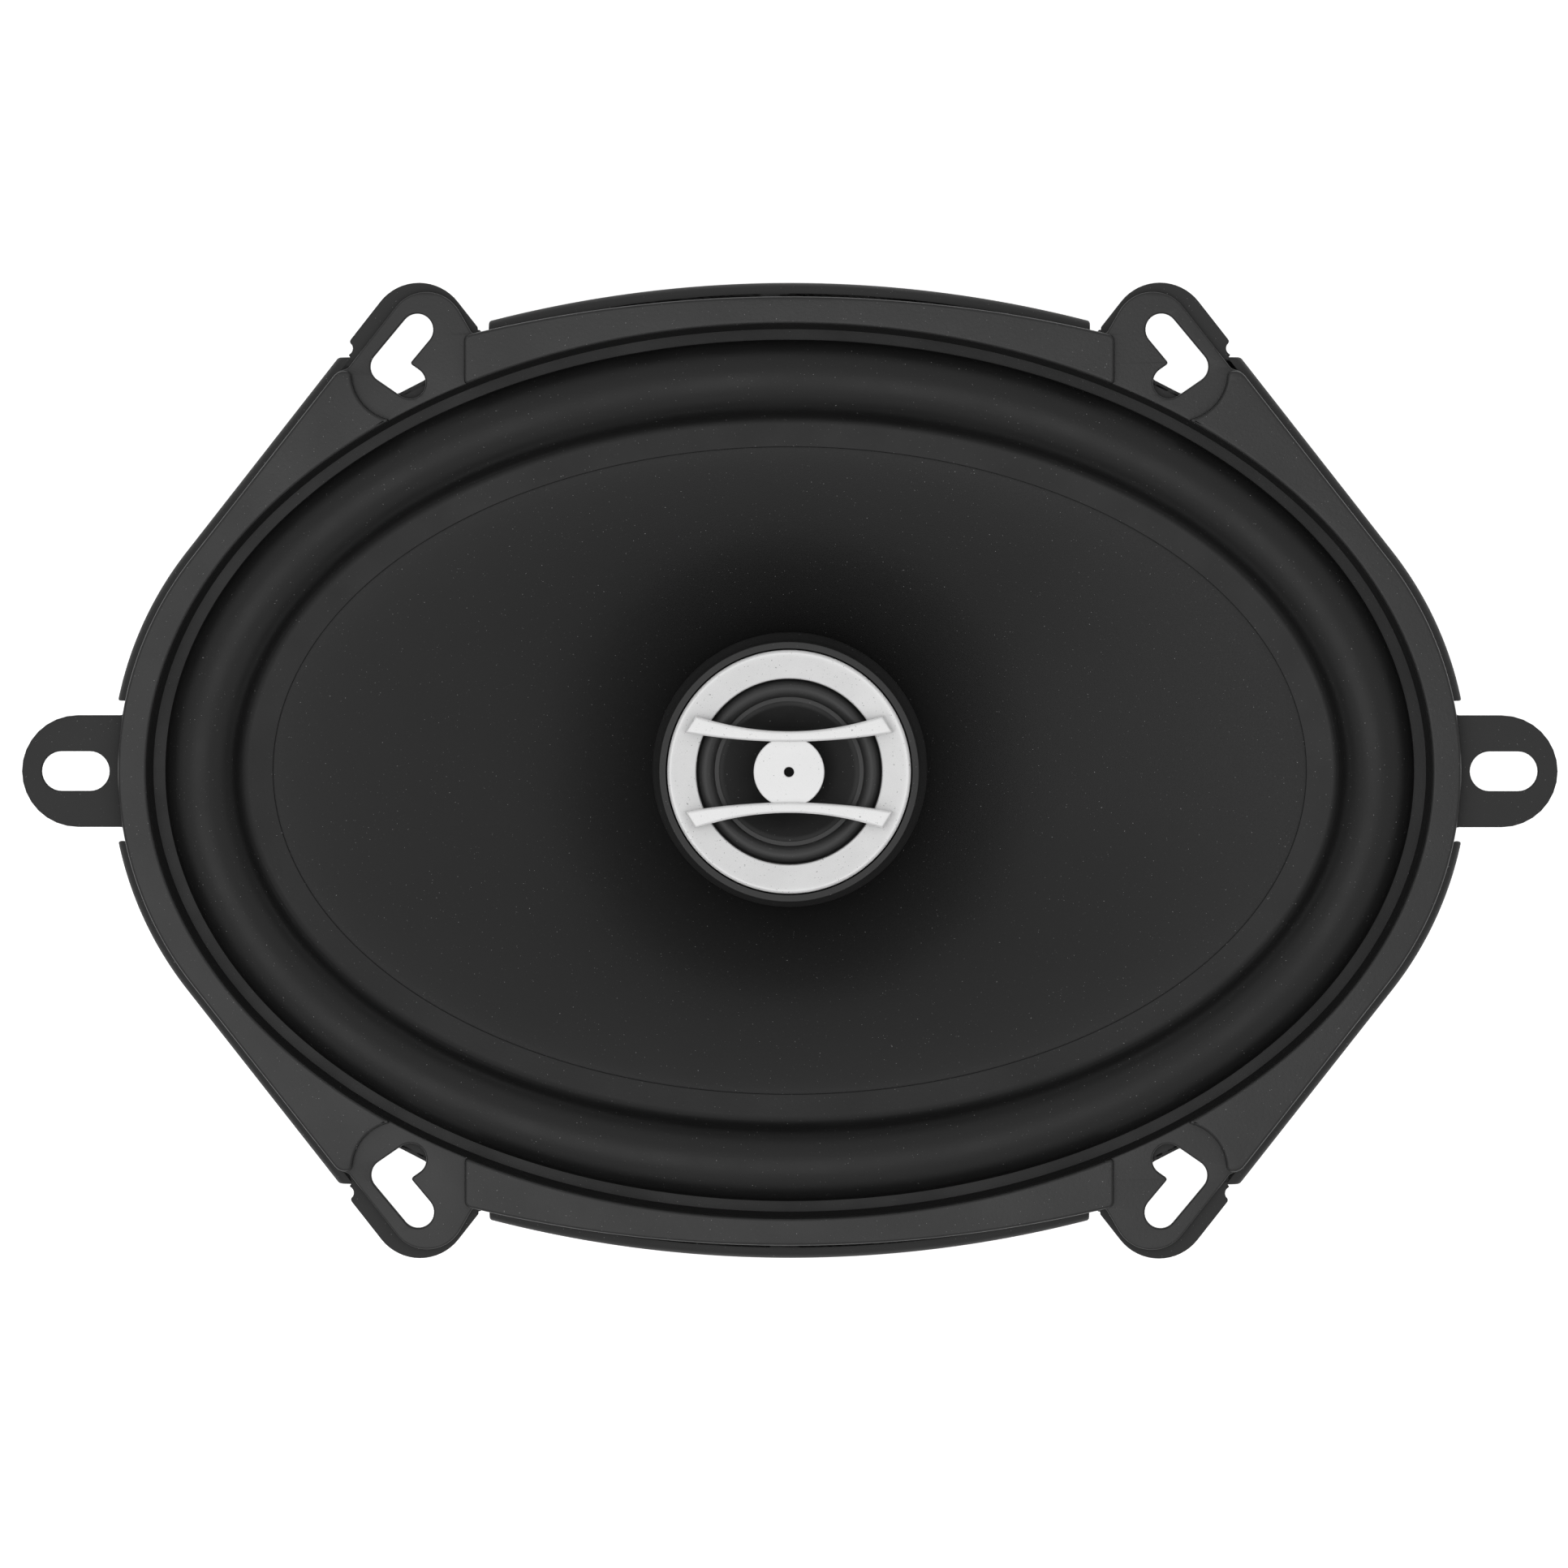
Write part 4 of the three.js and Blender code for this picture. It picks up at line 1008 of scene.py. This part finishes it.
def make_guard():
    ring = [
        (14.2, 59.2), (17.8, 59.2), (17.8, 62.2), (17.45, 62.6), (17.0, 62.5), (13.6, 61.3), (13.6, 60.2),
    ]
    meshes = [turned(ring, [0.1, 0.2, 0.25, 0.3, 0.4, 0.3, 0.15])]
    steps = 24

    def bow(x, y, middle):
        """The bar's edge from one end to the other, a parabola pulled half way to its middle point."""
        shares = [k / steps for k in range(steps + 1)]
        return [(x * (1 - 2 * t), y + 2 * (middle - y) * t * (1 - t)) for t in shares]

    bar = bow(13.66, 8.2, 3.7) + bow(15.2, 5.76, 3.1)[::-1]
    for y in (1, -1):
        meshes.append(plate([[(px, py * y) for px, py in bar]], 61.9, 63.8, 0.4, 4))
    meshes.append(turned(rectangle(0.72, 5.17, 62, 63), [0.1, 0.2, 0.25, 0.2]))
    add_piece("guard_bezel", "tweeter_guard", meshes, "silver_plastic")


def make_dome():
    sag, steps = 2.1, 24
    shares = [k / steps for k in range(steps + 1)]
    face = [(DOME_RADIUS * t, DOME_LIP - sag * (1 - t ** 2)) for t in shares]
    back = [(r, z - DOME_SKIN) for r, z in face]
    section = back + [(10.9, DOME_LIP - DOME_SKIN), (10.9, DOME_LIP)] + face[::-1]
    add_piece("dome_diaphragm", "tweeter_dome", [turned(section)], "dome_film")


def make_tweeter_surround():
    skin, middle, half, steps = DOME_SKIN, 12.2, 1.3, 20
    outer = arc(middle, DOME_LIP, half, 0, math.pi, steps)
    inner = arc(middle, DOME_LIP - skin, half - skin, 0, math.pi, steps)[::-1]
    outer[-1] = (outer[-1][0], DOME_LIP + skin)
    inner[0] = (inner[0][0], DOME_LIP)
    section = [(14.7, DOME_LIP - skin), (14.7, DOME_LIP)] + outer
    section += [(10.3, DOME_LIP + skin), (10.3, DOME_LIP)] + inner
    meshes = [turned(section)]
    roll = add_piece("tweeter_roll", "tweeter_surround", meshes, "surround_rubber", SOFT_EDGE, rides=False)
    # The roll takes the lighter rubber copy, whose extra lightness is painted sheen.
    roll.data.materials[0] = MATERIALS["tweeter_rubber_painted_sheen"]
    flex(roll)


def make_tweeter_inside():
    film = rectangle(9.95, 10.15, 54.4, DOME_LIP - DOME_SKIN)
    add_piece("tweeter_coil_tube", "tweeter_coil_former", [turned(film)], "coil_former_film")
    wire = rectangle(10.16, 10.5, 54.4, 56.6)
    add_piece("tweeter_coil_turns", "tweeter_coil_winding", [turned(wire, 0.1)], "enamelled_copper")
    ring = [(13.2, 58), (17.6, 58), (17.6, 59.2), (14.8, 59.2), (14.8, 58.95), (13.2, 58.95)]
    add_piece("tweeter_seat", "tweeter_mount_ring", [turned(ring, 0.1)], "black_plastic")
    pot = [(0, 50), (12.3, 50), (12.8, 50.5), (12.8, 56.6), (10.85, 56.6), (10.85, 51.4), (0, 51.4)]
    add_piece("tweeter_cup", "tweeter_pot", [turned(pot, 0.25)], "plated_steel")
    slug = rectangle(0, 9, 51.4, 54.6)
    add_piece("tweeter_slug", "tweeter_magnet", [turned(slug, 0.4)], "neodymium")
    washer = rectangle(0, 9.7, 54.6, 56.2)
    add_piece("tweeter_washer", "tweeter_pole_washer", [turned(washer, 0.2)], "plated_steel")


# ---------- magnet system ----------

def rivet(head, shank, shank_bottom, seat, head_top):
    """A domed head on a plain shank."""
    edge = seat + 0.25
    angles = [math.pi / 2 * k / 10 for k in range(10)]
    dome = [(head * math.cos(t), edge + (head_top - edge) * math.sin(t)) for t in angles]
    below = [(0, shank_bottom), (shank, shank_bottom), (shank, seat), (head, seat)]
    return turned(below + dome + [(0, head_top)], steps=40)


def on_circle(radius, degrees):
    angle = math.radians(degrees)
    return radius * math.cos(angle), radius * math.sin(angle)


def make_motor():
    foot = [(4.15, 8), (8.2, 8), (8.2, 0), (36.2, 0), (37, 0.8), (37, YOKE_PLATE)]
    pole = [(12.2, YOKE_PLATE), (12.2, TOP_PLATE_TOP), (4.15, TOP_PLATE_TOP)]
    yoke = turned(foot + pole, [0.1, 0.1, 0.5, 0.4, 0.4, 0.4, 0.3, 0.5, 0.3])
    groove = plate([rectangle(-2.25, 2.25, -39, -5)], -1, 2.6, 0.3)
    add_piece("yoke_forging", "pole_yoke", [cut_away(joined([yoke]), [groove])], "plated_steel")

    magnet = [(20, YOKE_PLATE), (39, YOKE_PLATE), (40, YOKE_PLATE + 1)]
    magnet += [(40, MAGNET_TOP - 1), (39, MAGNET_TOP), (20, MAGNET_TOP)]
    add_piece("magnet_ring", "ferrite_magnet", [turned(magnet, [0.5, 0.3, 0.3, 0.3, 0.3, 0.5])], "ferrite")

    holes = [hole(*on_circle(RIVET_CIRCLE, degrees), 1.65, 32) for degrees in RIVET_ANGLES]
    body = region([ellipse(37, 37, ROUND)], [ellipse(13.8, 13.8, ROUND)] + holes)
    add_piece("front_plate", "top_plate", [plate(body, MAGNET_TOP, TOP_PLATE_TOP, 0.3)], "plated_steel")
    for k, degrees in enumerate(RIVET_ANGLES):
        shape = moved(rivet(2.6, 1.5, 19, 23.5, 24.8), at(*on_circle(RIVET_CIRCLE, degrees)))
        add_piece(f"rivet_head_{k + 1}", f"chassis_rivet_{k + 1}", [shape], "plated_steel")

    post = [(1.9, 3.4), (4, 3.4), (4, 44), (8, 44.5), (8, 46), (1.9, 46)]
    add_piece("post_stem", "tweeter_post", [turned(post, [0.2, 0.5, 0.8, 0.3, 0.2, 0.2])], "black_plastic")
    nut = region([ellipse(7.5, 7.5, 6)], [ellipse(4.15, 4.15, 64)])
    add_piece("post_hex_nut", "post_nut", [plate(nut, 4, 8, 0.35)], "plated_steel")


# ---------- terminals and wiring ----------

def solder(x, y, z, radius):
    """A small mound of solder where a wire ends."""
    height = 0.75 * radius
    angles = [math.pi / 2 * k / 8 for k in range(8)]
    mound = [(radius * math.cos(t), height * math.sin(t)) for t in angles]
    return moved(turned([(0, -0.02), (radius * 1.25, -0.02)] + mound + [(0, height)], steps=32), at(x, y, z))


def make_terminals():
    places = ((-TERMINAL_X, TERMINAL_Y), (0, BOARD_RIVET_Y), (TERMINAL_X, TERMINAL_Y))
    outline = region([rectangle(-14, 14, -61, -47.2)], [hole(x, y, RIVET_HOLE) for x, y in places])
    board = plate(outline, SPIDER_LEDGE, BOARD_TOP, 0.12)
    add_piece("laminate_board", "terminal_board", [board], "board_laminate")
    for name, node, x, width, finish in (
        ("wide_spade", "positive_terminal", TERMINAL_X, 6.3, "terminal_brass"),
        ("narrow_spade", "negative_terminal", -TERMINAL_X, 4.8, "plated_steel"),
    ):
        left, right = x - width / 2, x + width / 2
        tip = [(left, -66), (left + 1, -67.2), (right - 1, -67.2), (right, -66)]
        outline = [(left, -49)] + tip + [(right, -49)]
        blade = plate(region([outline], [hole(x, TERMINAL_Y, RIVET_HOLE)]), BOARD_TOP, BLADE_TOP, 0.18)
        add_piece(name, node, [blade, solder(x, -50.2, BLADE_TOP, 1.5)], finish)
        head = moved(rivet(1.9, 1, 31.4, BLADE_TOP, BLADE_TOP + 0.9), at(x, TERMINAL_Y))
        add_piece(name + "_rivet", node + "_rivet", [head], "plated_steel")
    middle = moved(rivet(2, 1, 30.2, BOARD_TOP, BOARD_TOP + 0.9), at(0, BOARD_RIVET_Y))
    add_piece("board_rivet_head", "board_rivet", [middle], "plated_steel")


def make_capacitor():
    radius, half = 3.9, 7.5
    base = [(0, -half), (radius - 0.3, -half), (radius, 0.3 - half)]
    crimp = [(radius, half - 1.8), (radius - 0.4, half - 1.4), (radius, half - 1)]
    head = [(radius - 0.3, half), (0, half)]
    shape = turned(base + crimp + head, [0, 0.5, 0.3, 0.4, 0.3, 0.4, 0.3, 0], 64)
    lying = Matrix.Rotation(math.radians(30), 4, "Z") @ Matrix.Rotation(math.pi / 2, 4, "Y")
    place = at(21.2, -36.8, 26.4) @ lying
    add_piece("capacitor_can", "crossover_capacitor", [moved(shape, place)], "capacitor_sleeve")
    lead = [
        (28.25, -33.15, 26.4), (30, -32.3, 26.5), (33.8, -33.4, 27.6), (34.6, -38, 29.6), (30, -43.6, 31.8),
        (21, -49.6, 34.4), (13.5, -51, 36), (9.2, -50.6, 35.3),
    ]
    add_piece("capacitor_wire", "capacitor_lead", [tube(lead, WIRE_RADIUS)], "red_wire")


def tweeter_wire(side):
    """From the pod down the hollow post, along the yoke's groove and up past the magnet."""
    x = side * 0.95
    inside = [(side * 15, 0, 56.8), (side * 15, 0, 52), (side * 14.2, 0, 49.6), (side * 12, 0, 48.75)]
    down = [
        (side * 4.4, 0, 48.6), (side * 1.9, 0, 47.4), (x, 0, 45.2), (x, 0, 30), (x, 0, 8), (x, -0.1, 3.8),
    ]
    out = [(x, -1.3, 1.9), (x, -3.4, 1.2), (x, -12, 1.15), (x, -36, 1.15), (x, -39.8, 1.9)]
    return inside + down + out + [(x, -41.4, 4.6), (x, -41.4, 16)]


def make_wires():
    to_capacitor = [
        (2.6, -42.6, 21.5), (7, -44.4, 24.8), (10.6, -43.6, 26.2), (12.9, -42.02, 26.4), (14.5, -41.1, 26.4),
    ]
    to_terminal = [
        (-3.4, -43, 21.5), (-10, -46.6, 25.5), (-15.6, -49.6, 30), (-15.4, -50.8, 34.6), (-12, -50.8, 36.2),
        (-9.2, -50.6, 35.3),
    ]
    to_cone = [
        (8.5, -49.6, 35.05), (8.4, -48.2, 36.6), (8.2, -45, 38.4), (7.7, -39.5, 39.4), (7.1, -33.5, 41),
        (6.7, -29, 43.4), (6.5, -27.2, 44.8),
    ]
    sides = ((1, "positive", "red", to_capacitor), (-1, "negative", "black", to_terminal))
    for side, name, colour, end in sides:
        wire = tube(tweeter_wire(side) + end, WIRE_RADIUS)
        add_piece(f"{colour}_tweeter_wire", f"tweeter_lead_{name}", [wire], f"{colour}_wire")
    for side, name, *_ in sides:
        braid = tube([(side * x, y, z) for x, y, z in to_cone], BRAID_RADIUS)
        lead = add_piece(f"{name}_braid", f"{name}_tinsel_lead", [braid], "tinsel_braid", rides=False)
        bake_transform(lead)


# ---------- stage ----------

FLOOR_HALF = 1500
SKY_LEVELS = ((0.1, 0.8), (0.2, 0.17), (0.44, 0.17), (0.62, 0.72))  # height and how bright it is there
ZENITH_LEVEL = 0.7
CAMERA_DISTANCE = 1.3  # metres
CAMERA_SPAN = 0.2296  # metres of the flange's plane that the picture's side spans


def make_floor():
    corners = [(x, y, 0) for x, y in rectangle(-FLOOR_HALF, FLOOR_HALF, -FLOOR_HALF, FLOOR_HALF)]
    floor = linked("floor", mesh_from(corners, [(0, 1, 2, 3)]))
    shader = Shader("floor_paper", Emission_Strength=0.6, Emission_Color=(1, 1, 1, 1))
    shader.surface(shader.mixed(shader.noise(40.0), grey(0.88), grey(0.91)), 0.9)
    floor.data.materials.append(shader.material)


def make_softbox():
    light = bpy.data.lights.new("softbox", "AREA")
    light.shape = "DISK"
    light.size = 1.0
    light.energy = 3
    lamp = linked("softbox", light)
    lamp.location = (-0.25, -0.2, 1.6)
    towards_part = Vector((0, 0, 0.05)) - lamp.location
    lamp.rotation_euler = towards_part.to_track_quat("-Z", "Y").to_euler()


def make_sky():
    """Light near the horizon, dark above it, then one wide soft light overhead."""
    world = bpy.data.worlds.new("studio")
    bpy.context.scene.world = world
    world.use_nodes = True
    nodes, links = world.node_tree.nodes, world.node_tree.links
    split = nodes.new("ShaderNodeSeparateXYZ")
    ramp = nodes.new("ShaderNodeValToRGB")
    elements = ramp.color_ramp.elements
    for height, level in SKY_LEVELS:
        elements.new(height).color = (*grey(level), 1)
    elements[0].color = (*grey(SKY_LEVELS[0][1]), 1)
    elements[-1].color = (*grey(ZENITH_LEVEL), 1)
    nodes["Background"].inputs["Strength"].default_value = 1.35
    links.new(nodes.new("ShaderNodeTexCoord").outputs["Generated"], split.inputs["Vector"])
    links.new(split.outputs["Z"], ramp.inputs["Fac"])
    links.new(ramp.outputs["Color"], nodes["Background"].inputs["Color"])


def make_camera():
    """Almost straight down the axis, far enough for mild perspective."""
    camera = bpy.data.cameras.new("camera")
    camera.angle = 2 * math.atan(CAMERA_SPAN / 2 / CAMERA_DISTANCE)
    camera.clip_end = 10
    holder = linked("camera", camera)
    holder.location = (0.010, 0.030, FLANGE_TOP * MM + CAMERA_DISTANCE)
    aim = Vector((-0.00077, -0.00187, FLANGE_TOP * MM))
    back = (holder.location - aim).normalized()
    right = Vector((0, 1, 0)).cross(back).normalized()
    holder.rotation_euler = Matrix((right, back.cross(right), back)).transposed().to_euler()
    bpy.context.scene.camera = holder


bpy.context.scene.view_settings.view_transform = "Standard"
make_camera()
make_sky()
make_softbox()
make_floor()
make_basket()
make_gasket()
make_cone()
make_surround()
make_spider()
make_woofer_coil()
make_pod()
make_guard()
make_dome()
make_tweeter_surround()
make_tweeter_inside()
make_motor()
make_terminals()
make_capacitor()
make_wires()
